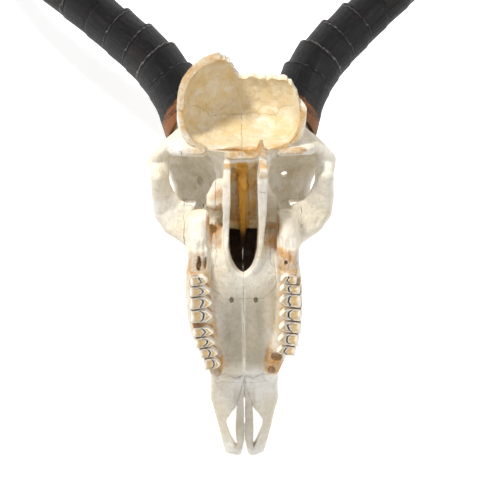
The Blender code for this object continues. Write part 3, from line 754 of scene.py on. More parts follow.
@dataclass
class Horn:
    """One ringed, lyre-shaped horn sheath and the bony core that it sits on."""

    side: Side
    lean_deg: float
    shift: float
    base: tuple[float, float, float] = (34, 199, -89)
    length: float = 545.0
    spread: Sequence[Row] = ((0, 18), (0.13, 46), (0.26, 47), (0.44, 33), (0.62, 8), (0.82, -10), (1, -14))
    rise: Sequence[Row] = ((0, 46), (0.15, 43), (0.35, 37), (0.55, 44), (0.75, 60), (1, 76))
    radius: Sequence[Row] = (
        (0, 18.2), (0.05, 16.6), (0.2, 13.8), (0.45, 12.4), (0.7, 9.8), (0.88, 5.8), (1, 1.5),
    )
    oval: float = 1.2
    points: int = 72
    stations: int = 420
    ring_first: float = 16.0
    ring_spacing: float = 15.5
    ring_growth: float = 1.045
    ring_height: float = 2.6
    ring_count: int = 19
    ring_tilt: float = 5.0
    ring_face_deg: float = 72.0
    rim_slant: float = 8.0
    rim_slant_reach: float = 34.0
    rim_low_deg: float = -95.0
    seat_slack: float = 0.9
    socket_slack: float = 0.8
    socket_depth: float = 15.0
    core_root: float = 14.0
    core_radius: float = 14.4
    steps: int = 400

    def walk(self) -> list[tuple[Vector, Vector]]:
        """Centres and headings along the horn, in equal steps, on the right side.

        Returns:
            Pairs of centre and heading.
        """
        centre = Vector(self.base) + Vector((self.shift, 0, 0))
        rows = []
        for k in range(self.steps + 1):
            share = k / self.steps
            spread = math.radians(between(self.spread, share) + self.lean_deg)
            rise = math.radians(between(self.rise, share))
            across, along = math.sin(spread), math.cos(spread)
            heading = Vector((across, along * math.cos(rise), -along * math.sin(rise)))
            rows.append((centre.copy(), heading))
            centre += heading * (self.length / self.steps)
        return rows

    def axes(self, rows: Sequence[tuple[Vector, Vector]]) -> list[tuple[Vector, Vector]]:
        """Front and side directions carried along the horn without twist.

        Args:
            rows: Centres and headings of the walk.

        Returns:
            Pairs of front and side direction.
        """
        front = Vector((0, -0.6, -0.8))
        made = []
        for _, heading in rows:
            front = (front - heading * front.dot(heading)).normalized()
            made.append((front.copy(), heading.cross(front).normalized()))
        return made

    def ring(self, along: float) -> tuple[float, float]:
        """Height from 0 to 1 of the growth rings, and nearness to a crest, at a distance along.

        Args:
            along: Distance from the base.

        Returns:
            The height and the nearness.
        """
        place, pitch = self.ring_first, self.ring_spacing
        for k in range(self.ring_count):
            if place - pitch <= along < place:
                part = (along - (place - pitch)) / pitch
                fade = 1 - max(0.0, (k - self.ring_count + 6) / 6)
                fade *= min(1.0, (k + 1.5) / 3)
                lift = part**1.6 * (1 - eased(np.array(part), 0.9, 1.0) * 0.35)
                return fade * float(lift), fade * max(0.0, (part - 0.72) / 0.28)
            place += pitch
            pitch *= self.ring_growth
        return 0.0, 0.0

    def skin(self, slack: float, points: int, stations: Sequence[float]) -> bpy.types.Object:
        """Outer skin of the sheath on the right side.

        Args:
            slack: How far the skin stands off, for the seat that is cut in the bone.
            points: Points around each section.
            stations: Distances along the horn of the sections.

        Returns:
            The lump, its points in the order of the sections.
        """
        rows = self.walk()
        axes = self.axes(rows)
        face_angle, low_angle = math.radians(self.ring_face_deg), math.radians(self.rim_low_deg)
        sections = []
        for along in stations:
            share = along / self.length
            place = min(self.steps - 1, int(share * self.steps))
            part = share * self.steps - place
            centre = rows[place][0].lerp(rows[place + 1][0], part)
            heading = rows[place][1]
            front, across = axes[place]
            radius = between(self.radius, share) + slack
            slant = self.rim_slant * max(0.0, 1 - along / self.rim_slant_reach)
            section = []
            for k in range(points):
                angle = math.tau * k / points
                facing = max(0.0, 0.5 + 0.5 * math.cos(angle - face_angle))
                waver = 2.2 * noise.noise(Vector((math.cos(angle) * 1.3, math.sin(angle) * 1.3, along / 60)))
                lift = self.ring(along + waver * min(1, along / 30))[0]
                lift = lift * self.ring_height * (0.15 + 0.85 * facing)
                tilt = self.ring_tilt * math.cos(angle - face_angle) * min(1, along / 60)
                tilt *= max(0.0, 1 - share * 1.2)
                tilt -= slant * math.cos(angle - low_angle) + (slack if along == 0 else 0)
                out = front * (math.cos(angle) * (radius * self.oval + lift))
                out += across * (math.sin(angle) * (radius + lift))
                section.append(centre + out + heading * tilt)
            sections.append(section)
        return Clay.loft(sections, "horn")

    def core(self, slack: float) -> bpy.types.Object:
        """Bony core on the right side, or the socket for it when slack is added.

        Args:
            slack: How much wider and deeper than the core.

        Returns:
            The lump.
        """
        rows = self.walk()
        front, across = self.axes(rows)[0]
        base, heading = rows[0]
        depth = self.socket_depth + slack
        stations = (
            (-self.core_root, self.core_radius - 1),
            (-4, self.core_radius),
            (depth * 0.6, self.core_radius - 1.6),
            (depth, self.core_radius - 5),
        )
        sections = []
        for along, radius in stations:
            section = []
            for k in range(self.points):
                angle = math.tau * k / self.points
                wide = math.cos(angle) * (radius + slack) * self.oval
                tall = math.sin(angle) * (radius + slack)
                section.append(base + heading * along + front * wide + across * tall)
            sections.append(section)
        return Clay.loft(sections, "core")

    def placed(self, item: bpy.types.Object) -> bpy.types.Object:
        """The item on this horn's own side."""
        return Clay.flipped(item) if self.side is Side.LEFT else item

    def evenly(self, count: int) -> list[float]:
        """Distances along the horn, closer together at its base."""
        return [self.length * (k / count) ** 1.15 for k in range(count + 1)]

    def sheath(self, hollow: bpy.types.Object, material: bpy.types.Material) -> bpy.types.Object:
        """The finished sheath.

        Args:
            hollow: Shape of the braincase that the sheath keeps clear of.
            material: The horn material.

        Returns:
            The sheath in the world frame.
        """
        made = self.skin(0.0, self.points, self.evenly(self.stations))
        Clay.carved(made, [self.core(self.socket_slack), hollow])
        self.marked(made)
        self.placed(made)
        made.data.transform(REST.matrix())
        made.data.materials.clear()
        made.data.materials.append(material)
        made.data.shade_smooth()
        return made

    def marked(self, made: bpy.types.Object) -> None:
        """Writes the length UV map, the ring crests and the brown root on the points.

        Args:
            made: The sheath on the right side.
        """
        rows = self.walk()
        axes = self.axes(rows)
        centres = np.array([row[0] for row in rows])
        mesh = made.data
        points = np.empty(len(mesh.vertices) * 3)
        mesh.vertices.foreach_get("co", points)
        points = points.reshape(-1, 3)
        crest = mesh.attributes.new("crest", "FLOAT", "POINT")
        root = mesh.attributes.new("root", "FLOAT", "POINT")
        spots = []
        for k, point in enumerate(points):
            nearest = int(np.argmin(((centres - point) ** 2).sum(axis=1)))
            front, across = axes[nearest]
            out = Vector(point) - rows[nearest][0]
            along = nearest / self.steps * self.length
            angle = math.atan2(out.dot(across), out.dot(front))
            slant = self.rim_slant * math.cos(angle - math.radians(self.rim_low_deg))
            spots.append((angle / math.tau + 0.5, along / self.length))
            crest.data[k].value = self.ring(along)[1]
            root.data[k].value = float(eased(np.array(along + slant * max(0, 1 - along / 34)), 16, 3))
        layer = mesh.uv_layers.new(name="length")
        for polygon in mesh.polygons:
            turns = [spots[mesh.loops[i].vertex_index][0] for i in polygon.loop_indices]
            wrap = max(turns) - min(turns) > 0.5
            for i, turn in zip(polygon.loop_indices, turns):
                spot = spots[mesh.loops[i].vertex_index]
                layer.data[i].uv = (turn + (1 if wrap and turn < 0.5 else 0), spot[1])


# The teeth


@dataclass
class ToothRow:
    """Cheek teeth of one side, each lobe with an enamel rim and a crescent hollow."""

    side: Side
    lobes: Sequence[Row]
    top: float = 7.5
    root: float = -6.0
    lean: float = 0.12
    grid: int = 48
    rings: int = 18
    saddle: float = 1.4
    drift: float = 0.22
    seed: float = 0.0
    outline: Sequence[Point2] = (
        (1, -0.98), (0.9, 0), (1, 0.98), (0.45, 1), (-0.4, 0.84), (-1, 0), (-0.4, -0.84), (0.45, -1),
    )

    def edge_reach(self, a: float, b: float) -> float:
        """Distance from the middle of a crown to its edge, towards (a, b).

        Args:
            a, b: Direction across and along the lobe.

        Returns:
            The distance in half widths.
        """
        angle = math.atan2(b, a)
        best = 1.0
        aim = Vector((math.cos(angle), math.sin(angle)))
        for first, second in zip(self.outline, (*self.outline[1:], self.outline[0])):
            p, q = Vector(first), Vector(second)
            run = q - p
            cross = aim.x * run.y - aim.y * run.x
            if abs(cross) < 1e-9:
                continue
            reach = (p.x * run.y - p.y * run.x) / cross
            part = (p.x * aim.y - p.y * aim.x) / cross
            if reach > 0 and -1e-6 <= part <= 1 + 1e-6:
                best = reach
        return best

    def crown(self, row: Row) -> tuple[bpy.types.Object, list[tuple[float, float, float]]]:
        """One lobe on the right side, drawn up from its root and worn on top.

        Args:
            row: Back edge, front edge, centre to the side and width.

        Returns:
            The crown, and the dentine, stain and hollow of each of its points.
        """
        back, front, across, width = row
        middle, reach, half = (back + front) / 2, (back - front) / 2, width / 2
        self.seed = middle + across
        levels = [(self.root, 0.9), (0.5, 1.0), (self.top * 0.6, 1.0)]
        levels += [(self.top - 1, 0.97), (self.top - 0.3, 0.92)]
        sides = len(levels)
        levels += [(self.top, 0.88 - 0.86 * k / self.rings) for k in range(self.rings + 1)]
        angles = [math.tau * k / self.grid for k in range(self.grid)]
        edges = [self.edge_reach(math.cos(angle), math.sin(angle)) for angle in angles]
        sections = []
        marks = []
        for count, (level, wide) in enumerate(levels):
            section = []
            for angle, edge in zip(angles, edges):
                a, b = math.cos(angle) * edge * wide, math.sin(angle) * edge * wide
                rise = self.worn(a, b, wide) if count > 2 else 0.0
                lean = self.lean * (self.top - level)
                section.append(Vector((across + half * a + lean, middle + reach * b, level + rise)))
                marks.append(self.mark(a, b, wide, level, count >= sides))
            sections.append(section)
        return Clay.loft(sections, "crown"), marks

    def mark(self, a: float, b: float, wide: float, level: float, worn: bool) -> tuple[float, float, float]:
        """Dentine, stain and hollow of a point of a crown.

        Args:
            a: Place across the lobe, 1 at the cheek.
            b: Place along the row.
            wide: Nearness to the edge of the lobe.
            level: Height above the palate.
            worn: True on the chewing face.

        Returns:
            The three shares.
        """
        gap = self.crescent(a, b)
        foot = float(eased(np.array(level), 4.0, 0.5))
        seam = float(eased(np.array(abs(b)), 0.8, 0.97)) * (0.35 if worn else 0.9)
        if not worn:
            # Side walls: the hollow share near the top where lobes meet is painted shade between neighbouring
            # lobes.
            return 0.0, max(foot * 0.8, seam * 0.7), seam * float(eased(np.array(level), 3.0, 6.5)) * 0.5
        pulp = float(eased(np.array(gap), 0.17, 0.26) * eased(np.array(wide), 0.8, 0.72))
        return pulp, seam, math.exp(-((gap / 0.075) ** 4))

    def crescent(self, a: float, b: float) -> float:
        """Distance from the crescent hollow of a lobe."""
        bend = -0.12 + 0.5 * b * b + self.drift * noise.noise(Vector((self.seed, b * 1.6, 4)))
        return abs(a - bend) + max(0.0, abs(b) - 0.76) * 1.2

    def worn(self, a: float, b: float, wide: float) -> float:
        """Height of the worn top over its mean level.

        Args:
            a, b: Place across and along the lobe.
            wide: Nearness to the edge of the lobe.

        Returns:
            The height.
        """
        gap = self.crescent(a, b)
        bow = self.saddle * (a * a - 0.5)
        cusp = 1.1 * math.exp(-((a - 0.85) ** 2 / 0.08 + b * b / 0.25))
        cusp += 0.5 * math.exp(-((a + 0.75) ** 2 / 0.06 + b * b / 0.25))
        pit = -1.1 * math.exp(-((gap / 0.08) ** 2))
        ridge = 0.35 * math.exp(-(((gap - 0.17) / 0.05) ** 2))
        dentine = -0.5 * math.exp(-(((wide - 0.6) / 0.14) ** 2)) * min(1.0, gap / 0.3)
        chips = noise.noise(Vector((a * 3, b * 3, self.seed))) * 0.3
        return bow + cusp + pit + ridge + dentine + chips

    def build(self, material: bpy.types.Material) -> bpy.types.Object:
        """The row of crowns in the world frame.

        Args:
            material: The enamel material.

        Returns:
            The row as one piece.
        """
        shape = bmesh.new()
        values: list[tuple[float, float, float]] = []
        for row in self.lobes:
            crown, marks = self.crown(row)
            values += marks
            shape.from_mesh(crown.data)
            bpy.data.objects.remove(crown)
        made = Clay.lump(shape, f"teeth_{self.side.value}")
        for number, name in enumerate(("dentine", "stain", "hollow")):
            layer = made.data.attributes.new(name, "FLOAT", "POINT")
            layer.data.foreach_set("value", [value[number] for value in values])
        if self.side is Side.LEFT:
            Clay.flipped(made)
        made.data.transform(REST.matrix())
        made.data.materials.append(material)
        made.data.shade_smooth()
        return made


# The bones


@dataclass(frozen=True)
class Suture:
    """A bone's outline on the skull, drawn through it along an axis."""

    bone: str
    outline: Sequence[Point2]
    low: float
    high: float
    axis: str
    halves: bool = False
    pair: bool = False
    waver: float = 0.7
    gap: float = 0.2

    def wandering(self, outline: Sequence[Point2]) -> list[Point2]:
        """The outline with the small turns of a real suture.

        Args:
            outline: The plain outline.

        Returns:
            The outline with more points.
        """
        made: list[Point2] = []
        count = len(outline)
        for k in range(count):
            p, q = Vector(outline[k]), Vector(outline[(k + 1) % count])
            pieces = max(1, min(60, int((q - p).length / 1.3)))
            side = Vector((p.y - q.y, q.x - p.x)).normalized()
            for step in range(pieces):
                spot = p.lerp(q, step / pieces)
                ends = min(1.0, 4 * min(step, pieces - step) / pieces)
                turn = noise.noise(Vector((spot.x * 0.35, spot.y * 0.35, 3.7))) * 2
                turn += noise.noise(Vector((spot.x * 0.9, spot.y * 0.9, 9.1)))
                made.append(tuple(spot + side * (turn * self.waver * ends)))
        return made

    def block(self, outline: Sequence[Point2], low: float, high: float) -> bpy.types.Object:
        """Outline drawn out along the axis, with wandering end faces across the skull.

        Args:
            outline: Closed outline.
            low: Start along the axis.
            high: End along the axis.

        Returns:
            The lump.
        """
        made = Clay.prism(outline, low, high, self.axis)
        if self.axis != "X" or self.halves:
            return made
        shape = bmesh.new()
        shape.from_mesh(made.data)
        for axis in (1, 2):
            reach = [vert.co[axis] for vert in shape.verts]
            normal = Vector((0, axis == 1, axis == 2))
            for step in range(int(min(reach)) + 1, int(max(reach)), 2):
                parts = [*shape.verts, *shape.edges, *shape.faces]
                bmesh.ops.bisect_plane(shape, geom=parts, plane_co=normal * step, plane_no=normal)
        for vert in shape.verts:
            if min(abs(vert.co.x - low), abs(vert.co.x - high)) < 0.01:
                turn = noise.noise(Vector((vert.co.y * 0.3, vert.co.z * 0.3, 5.1)))
                turn += 0.6 * noise.noise(Vector((vert.co.y * 0.8, vert.co.z * 0.8, 2.3)))
                vert.co.x += turn * self.waver * 1.4
        shape.to_mesh(made.data)
        shape.free()
        return made

    @staticmethod
    def grown(outline: Sequence[Point2], reach: float) -> list[Point2]:
        """The outline moved outward by reach.

        Args:
            outline: Closed outline.
            reach: Distance outward.

        Returns:
            The wider outline.
        """
        points = [Vector(p) for p in outline]
        count = len(points)
        area = sum(points[k - 1].cross(points[k]) for k in range(count))
        turn = 1 if area > 0 else -1
        made = []
        for k in range(count):
            before = (points[k] - points[k - 1]).normalized()
            after = (points[(k + 1) % count] - points[k]).normalized()
            first, second = Vector((before.y, -before.x)) * turn, Vector((after.y, -after.x)) * turn
            middle = (first + second).normalized()
            made.append(tuple(points[k] + middle * (reach / max(0.3, middle.dot(first)))))
        return made

    def taken(
        self, mass: bpy.types.Object, outline: Sequence[Point2], low: float, high: float
    ) -> bpy.types.Object:
        """The part of the mass inside the outline, which leaves the mass with a thin seam.

        Args:
            mass: The skull, which loses the part.
            outline: Closed outline.
            low: Start along the axis.
            high: End along the axis.

        Returns:
            The part.
        """
        line = self.wandering(outline)
        piece = Clay.copied(mass)
        Clay.combined(piece, self.block(line, low, high), "INTERSECT")
        wide = self.grown(line, self.gap)
        Clay.combined(mass, self.block(wide, low - self.gap, high + self.gap), "DIFFERENCE")
        return Clay.largest(piece)

    def halved(self, whole: bpy.types.Object) -> dict[str, bpy.types.Object]:
        """Left and right half of a bone, parted along a wandering midline.

        Args:
            whole: The bone, which is used up.

        Returns:
            The halves by name.
        """
        far = 300
        line = [(0.5 * noise.noise(Vector((y * 0.4, 1.3, 0))), float(y)) for y in range(-20, 271, 2)]
        made = {}
        for side, sign in (("left", -1), ("right", 1)):
            edge = [(x + sign * self.gap / 2, y) for x, y in line]
            outline = [*edge, (sign * far, 270), (sign * far, -20)]
            half = Clay.copied(whole)
            Clay.combined(half, Clay.prism(outline, -far, far, "Z"), "INTERSECT")
            made[f"{self.bone}_{side}"] = Clay.largest(half)
        bpy.data.objects.remove(whole)
        return made

    def cut(self, mass: bpy.types.Object) -> dict[str, bpy.types.Object]:
        """The bones that this suture frees from the mass, by name.

        Args:
            mass: The skull, which loses the bones.

        Returns:
            The bones by name.
        """
        if self.halves:
            return self.halved(self.taken(mass, self.outline, self.low, self.high))
        if not self.pair:
            return {self.bone: self.taken(mass, self.outline, self.low, self.high)}
        right = self.taken(mass, self.outline, self.low, self.high)
        if self.axis == "X":
            left = self.taken(mass, self.outline, -self.high, -self.low)
        else:
            left = self.taken(mass, [(-a, b) for a, b in self.outline], self.low, self.high)
        return {f"{self.bone}_right": right, f"{self.bone}_left": left}


SUTURES = (
    Suture(
        "premaxilla",
        ((-20, 30), (55, 30), (55, -8), (61, -28), (64, -37), (46, -31.5), (-20, -31.5)),
        -40, 40, "X", halves=True,
    ),
    Suture(
        "nasal",
        (
            (-7.5, 44), (7.5, 44), (8.5, 70), (10, 100), (12, 126), (7, 141), (-7, 141), (-12, 126),
            (-10, 100), (-8.5, 70),
        ),
        -120, -31.8, "Z", halves=True,
    ),
    Suture(
        "vomer",
        ((118, -28), (190, -28), (190, -40.5), (151, -43.5), (147, -60), (118, -60)),
        -3.4, 3.4, "X",
    ),
    Suture(
        "parietal",
        (
            (-70, 234), (-46, 227), (-26, 214), (-20, 208), (20, 208), (26, 214), (46, 227), (70, 234),
            (70, 300), (-70, 300),
        ),
        -130, 30, "Z",
    ),
    Suture(
        "palatine",
        (
            (0, 117), (12, 117), (19.5, 124), (19.5, 133), (16.5, 141), (16.5, 183), (-16.5, 183),
            (-16.5, 141), (-19.5, 133), (-19.5, 124), (-12, 117),
        ),
        -37.5, 20, "Z", halves=True,
    ),
    Suture("jugal", ((139, -46), (139, -15), (200, -15), (200, -50), (150, -50)), 36.5, 90, "X", pair=True),
    Suture(
        "lacrimal",
        ((122, -60), (128, -48), (150, -50.5), (152, -62), (150, -76), (128, -66)),
        25, 90, "X", pair=True,
    ),
    Suture("sphenoid", ((146, -64), (191, -62), (196.5, -50), (196.5, -10), (146, -10)), -22, 22, "X"),
    Suture(
        "maxilla",
        ((40, 40), (176, 40), (178, -35), (152, -41), (146, -62), (139, -69), (135, -90), (40, -90)),
        -90, 90, "X", halves=True,
    ),
)


@dataclass
class Cranium:
    """The skull's bones, modelled as one mass and cut apart along their sutures."""

    grain: float = 0.68
    softening: int = 4
    face: Sequence[Row] = (
        (38, -11, -26, 18.5, 9), (50, -8, -35, 20, 10.5), (62, -4.5, -40, 22.5, 11.5),
        (76, -1.8, -45.5, 28.5, 13), (92, -1.2, -51.5, 33, 15), (110, -1.2, -58, 35.5, 18),
        (128, -2, -65, 35, 23.5), (142, -7, -72, 34, 30), (152, -18, -78, 32, 36),
    )
    ridge: Sequence[Row] = (
        (16.5, 60, -6, 4.2), (19, 70, -5, 5.2), (22, 80, -5, 6.2), (25.6, 92, -6, 7.4),
        (27.6, 106, -7, 8), (28.2, 120, -7, 8), (27.6, 135, -7, 7.4),
    )
    nose: Sequence[Row] = (
        (26, -9, -30, 10, 7), (44, -10.5, -31, 13, 7.5), (58, -8.5, -35, 15, 8), (72, -6, -40, 18, 9),
        (90, -5.5, -46, 21, 10.5), (110, -5.5, -52, 22, 13), (128, -7, -58, 19, 15),
        (146, -20, -62, 11, 13),
    )
    forehead: Sequence[Row] = (
        (138, -42, -71, 27, 27), (148, -44, -77, 32, 36), (160, -46, -83.5, 36, 45),
        (172, -47, -88.5, 37, 49), (184, -46, -92.5, 38, 49.5), (196, -46, -96, 37, 44),
        (208, -52, -97, 36, 37), (218, -58, -95, 34, 32),
    )
    septum: Sequence[Row] = (
        (126, -56, -70, 15, 19), (142, -48, -76, 13, 20), (158, -41, -82, 12.5, 22),
        (174, -39, -86, 13, 24), (188, -36, -86, 16, 28), (200, -33, -80, 20, 30),
    )
    case_centre: tuple[float, float, float] = (0, 221, -55)
    case_inner: tuple[float, ...] = (35.6, 31, 20.5, 31.5, 60)
    case_square: float = 3.6
    case_round: float = 2.4
    case_wall: float = 3.4
    case_skin: float = 4.2
    saw_point: tuple[float, float, float] = (0, 198, -33.5)
    saw_slope_deg: float = 35.0
    saw_lead: float = 2.0
    folds: Sequence[Point2] = ((-23, 7), (-9, 5), (6.5, 6), (18.5, 5))
    broken_edge: Sequence[Point2] = (
        (-70, 256), (-15, 252.5), (-9.5, 245), (-5, 237), (-1.5, 229.5), (12, 229.5), (27, 232.5),
        (32, 229), (36, 221), (70, 214), (70, 280), (-70, 280),
    )

    def section(self, row: Row, points: int = 48, power: float = 2.7) -> list[Vector]:
        """Upright section of (distance back, low side, roof, low half width, roof half width).

        Args:
            row: The five sizes.
            points: Points around the section.
            power: Squareness; 2 is an ellipse.

        Returns:
            The points of the section.
        """
        y, floor_z, roof_z, floor_half, roof_half = row
        middle, half_height = (floor_z + roof_z) / 2, (floor_z - roof_z) / 2
        made = []
        for k in range(points):
            angle = math.tau * k / points
            across = math.copysign(abs(math.cos(angle)) ** (2 / power), math.cos(angle))
            up = math.copysign(abs(math.sin(angle)) ** (2 / power), math.sin(angle))
            half = roof_half + (floor_half - roof_half) * (up + 1) / 2
            made.append(Vector((across * half, y, middle + up * half_height)))
        return made

    def trunk(self, stations: Sequence[Row]) -> bpy.types.Object:
        """Loft through upright sections."""
        return Clay.loft([self.section(row) for row in refined(stations, 5)], "trunk")

    def hollow(self, wall: float) -> bpy.types.Object:
        """Hollow of the braincase, or the hollow with its wall."""
        radii = [radius + wall for radius in self.case_inner]
        return Clay.egg(self.case_centre, radii, self.case_square, self.case_round)

    def shell(self) -> bpy.types.Object:
        """Outer form of the braincase, thicker on the roof side."""
        across, back, front, roof, _ = (radius + self.case_skin for radius in self.case_inner)
        radii = (across, back, front, roof + 5, 36)
        return Clay.egg(self.case_centre, radii, self.case_square, self.case_round)

    def bulk(self) -> bpy.types.Object:
        """Solid of the face, forehead and braincase with its cavities carved.

        Returns:
            The lump.
        """
        lumps = [
            self.trunk(self.face),
            self.trunk(self.forehead),
            self.trunk(self.septum),
            self.shell(),
        ]
        tuber = [(27, 134, -4, 6.5), (27.5, 149, -13, 5.5), (27, 162, -27, 6.5), (29, 146, -32, 7)]
        lumps += Clay.both(
            [
                Clay.stretched(tuber),
                Clay.stretched([(30, 196, -84, 15), (33, 200, -90, 16)]),
                Clay.stretched([(33, 138, -62, 6), (38, 145, -64, 5), (38, 144, -48, 5), (30, 138, -34, 6)]),
                *Clay.chain([[ball] for ball in self.ridge]),
            ]
        )
        bulk = Clay.melted(lumps, self.grain, self.softening)
        tools = [self.trunk(self.nose), self.hollow(0), self.duct(), self.nostril()]
        tools += Clay.both(
            [
                Clay.ball((43, 167, -62.5), (29, 22.5, 21.5)),
                Clay.ball((28, 171.5, -27), (7.5, 7, 12)),
                self.fossa(),
            ]
        )
        return Clay.carved(bulk, tools)

    def duct(self) -> bpy.types.Object:
        """Passage behind the palate, open below, with a rounded V at its front."""
        half = refined(((0.01, 130), (3.5, 132), (6.8, 137.5), (9, 146), (9.8, 156), (10, 192)), 4)
        return Clay.prism([*half, *[(-x, y) for x, y in reversed(half)]], -39.5, 8, "Z")

    def nostril(self) -> bpy.types.Object:
        """Slanted front opening of the nose."""
        outline = ((0, -70), (0, -12), (22, -12), (36, -20), (48, -28.5), (56, -34), (51, -41), (44, -70))
        return Clay.prism(outline, -40, 40, "X")

    def fossa(self) -> bpy.types.Object:
        """Open space under the orbit, between the cheek and the braincase."""
        low = [(21, 171, 8, 8), (21, 187, 8, 8), (42, 186, 8, 8), (51, 174, 8, 8), (42, 168, 8, 8)]
        deep = [(21, 172, -44, 8), (21, 187.5, -48, 8), (26, 182, -62, 9), (40, 184.5, -60, 9)]
        return Clay.stretched([*low, *deep, (46, 174, -60, 9)])

    def cheek(self) -> list[bpy.types.Object]:
        """Orbit rim and roof, cheekbone and the bar behind the eye, on both sides.

        Returns:
            The lumps.
        """
        rim = [
            (41, 145, -50, 4), (42.5, 144, -62, 4), (40, 148, -75, 3.6), (41.5, 158, -83, 3.2),
            (46, 169, -87, 3.4), (48, 177, -85.5, 3.6), (48.8, 182, -79, 3.6), (53, 184.5, -68, 4),
            (54.5, 186.5, -54, 4.4), (52.5, 183, -44, 4.6),
        ]
        made = Clay.chain([[ball] for ball in rim])
        made += Clay.chain(
            [
                [(24, 150, -76, 3), (35, 149.5, -77.5, 2.4)], [(22, 160, -82, 3), (41, 160, -83, 2.2)],
                [(20, 172, -87, 3), (48, 172, -86, 2.4)], [(24, 186, -84, 5), (49, 181, -81, 3)],
                [(26, 197, -72, 4), (44, 193, -66, 3.4)],
                [(24, 199, -50, 2.6), (36, 199, -50, 2.6), (43, 197.5, -52, 3)],
                [(24, 199, -37, 2.6), (35, 199.5, -37, 2.6), (42, 199, -40, 2.8)],
            ]
        )
        made += Clay.chain(
            [
                [(36, 200, -44, 3.6), (34, 204, -64, 4)], [(46, 197.5, -48, 3.2), (45, 194, -64, 4.4)],
                [(53, 190, -50, 4), (53, 186, -64, 4)],
            ]
        )
        low_bar = [(49.8, 188, -50, 4), (49.4, 181, -46, 4.2), (48, 175, -44, 3.2), (45, 171, -43, 2.4)]
        made += Clay.chain([[ball] for ball in low_bar])
        made += Clay.chain(
            [
                [(33, 144, -30, 5), (35, 144, -46, 4)],
                [(46, 149, -37, 4), (43.5, 149, -48, 3.5), (32.5, 160, -40, 3)],
                [(51.5, 156, -40.5, 4), (51, 157, -48, 3), (40, 163, -42, 2.4)],
                [(52.6, 167, -41, 4), (52, 168, -47, 3), (46, 172, -43, 2.4)],
                [(52.5, 181, -40.5, 4.4), (50.6, 180, -43, 4.2)],
            ]
        )
        return Clay.both(made)

    def palate_walls(self) -> list[bpy.types.Object]:
        """Upright plates beside the passage behind the palate, the left one broken lower.

        Returns:
            The two lumps.
        """
        right = (
            (0.2, 130.5, -3, -9, 2.4), (4.5, 132.5, -3, -12, 2.4), (8.2, 138, -3.5, -20, 2.4),
            (10.4, 147, -5, -42, 2.6), (11.6, 160, -9, -42, 3.8), (12, 174, -12, -42, 5),
            (12, 186, -13, -42, 5.6), (13, 196, -15, -40, 5),
        )
        left = (
            (-0.2, 130.5, -3, -9, 2.4), (-4.5, 132.5, -3, -12, 2.4), (-8.2, 138, -3.5, -20, 2.4),
            (-10.2, 147, -6, -42, 2.6), (-10.2, 157, -14, -42, 3.6), (-9.8, 172, -16, -42, 4.6),
            (-9.4, 186, -22, -42, 4.4), (-9, 194, -30, -42, 4),
        )
        return [Clay.wall(right), Clay.wall(left)]

    def body(self) -> list[bpy.types.Object]:
        """Wedge of bone in front of the braincase, and the swollen cell beside the left plate.

        Returns:
            The two lumps.
        """
        wedge = [(0, 184, -38.5, 1.2)]
        wedge += [(-6.5, 195, -37, 3.6), (6.5, 195, -37, 3.6), (-7, 198, -36, 3.6), (7, 198, -36, 3.6)]
        cell = [(-16, 168, -32, 5.5), (-14.5, 178, -36, 4), (-20, 166, -38, 4)]
        return [Clay.stretched(wedge), Clay.stretched(cell)]

    def spur(self) -> bpy.types.Object:
        """Splinter that stands over the front edge of the sawn braincase."""
        foot = Clay.stretched([(7, 196, -36.5, 2.4), (14.5, 196, -35.5, 2.6), (12.6, 201, -37, 1.6)])
        tip = Clay.stretched([(9, 197, -36, 2), (14, 197, -35.5, 2), (11.6, 206, -37.5, 1)])
        return Clay.combined(foot, tip, "UNION")

    def keel(self) -> bpy.types.Object:
        """Vomer, the upright blade in the roof of the passage.

        Returns:
            The lump.
        """
        path = (
            (0, 128, -46, -58, 2.4), (0, 140, -38, -58, 2.8), (0, 156, -34.5, -44, 3.6),
            (0, 172, -34, -42, 5), (0, 184, -36, -42, 5.6),
        )
        return Clay.wall(path)

    def muzzle(self) -> list[bpy.types.Object]:
        """Premaxillae: flat plates with a raised outer edge that climbs to the nasals.

        Returns:
            The lumps of both sides.
        """
        plate = Clay.chain(
            [
                [(4.9, 3.4, -5, 3.2), (9.6, 5.4, -5.5, 3.7)], [(1.9, 12, -4.5, 1.5), (12.2, 13, -7, 3)],
                [(1.9, 28, -5, 1.5), (15.6, 28, -9, 3)], [(1.9, 42, -5.2, 1.5), (18.8, 42, -10, 3)],
                [(1.9, 58, -5.5, 1.8), (18.4, 58, -10, 3)],
            ]
        )
        side = Clay.chain(
            [
                [(15, 26, -9, 2.6), (14.4, 26, -12, 2)], [(17.6, 36, -9, 2.8), (16, 36, -20, 2)],
                [(18.9, 46, -10, 2.8), (15.8, 46, -28, 2)], [(19, 60, -12, 2.8), (13.6, 60, -34, 2)],
            ]
        )
        tip = Clay.stretched([(3.2, 50, -34.6, 1.7), (2.5, 62, -39, 2.2), (8.6, 62, -38, 2.2)])
        return Clay.both([*plate, *side, tip])

    def scrolls(self) -> list[bpy.types.Object]:
        """Scrolls of thin bone inside the nose and the raised seam of the palate.

        Returns:
            The lumps.
        """
        upper = [(5, 112, -24, 1.6), (6, 128, -27, 1.6), (7, 112, -34, 1.6), (9, 136, -36, 1.6)]
        lower = [(10, 116, -30, 2.2), (10, 140, -36, 2.6), (8, 136, -42, 2.2)]
        made = Clay.both([Clay.stretched(upper), Clay.stretched(lower)])
        return [*made, Clay.stretched([(0, 76, -4.2, 1.7), (0, 127, -4.2, 1.7), (0, 100, -5, 1.7)])]

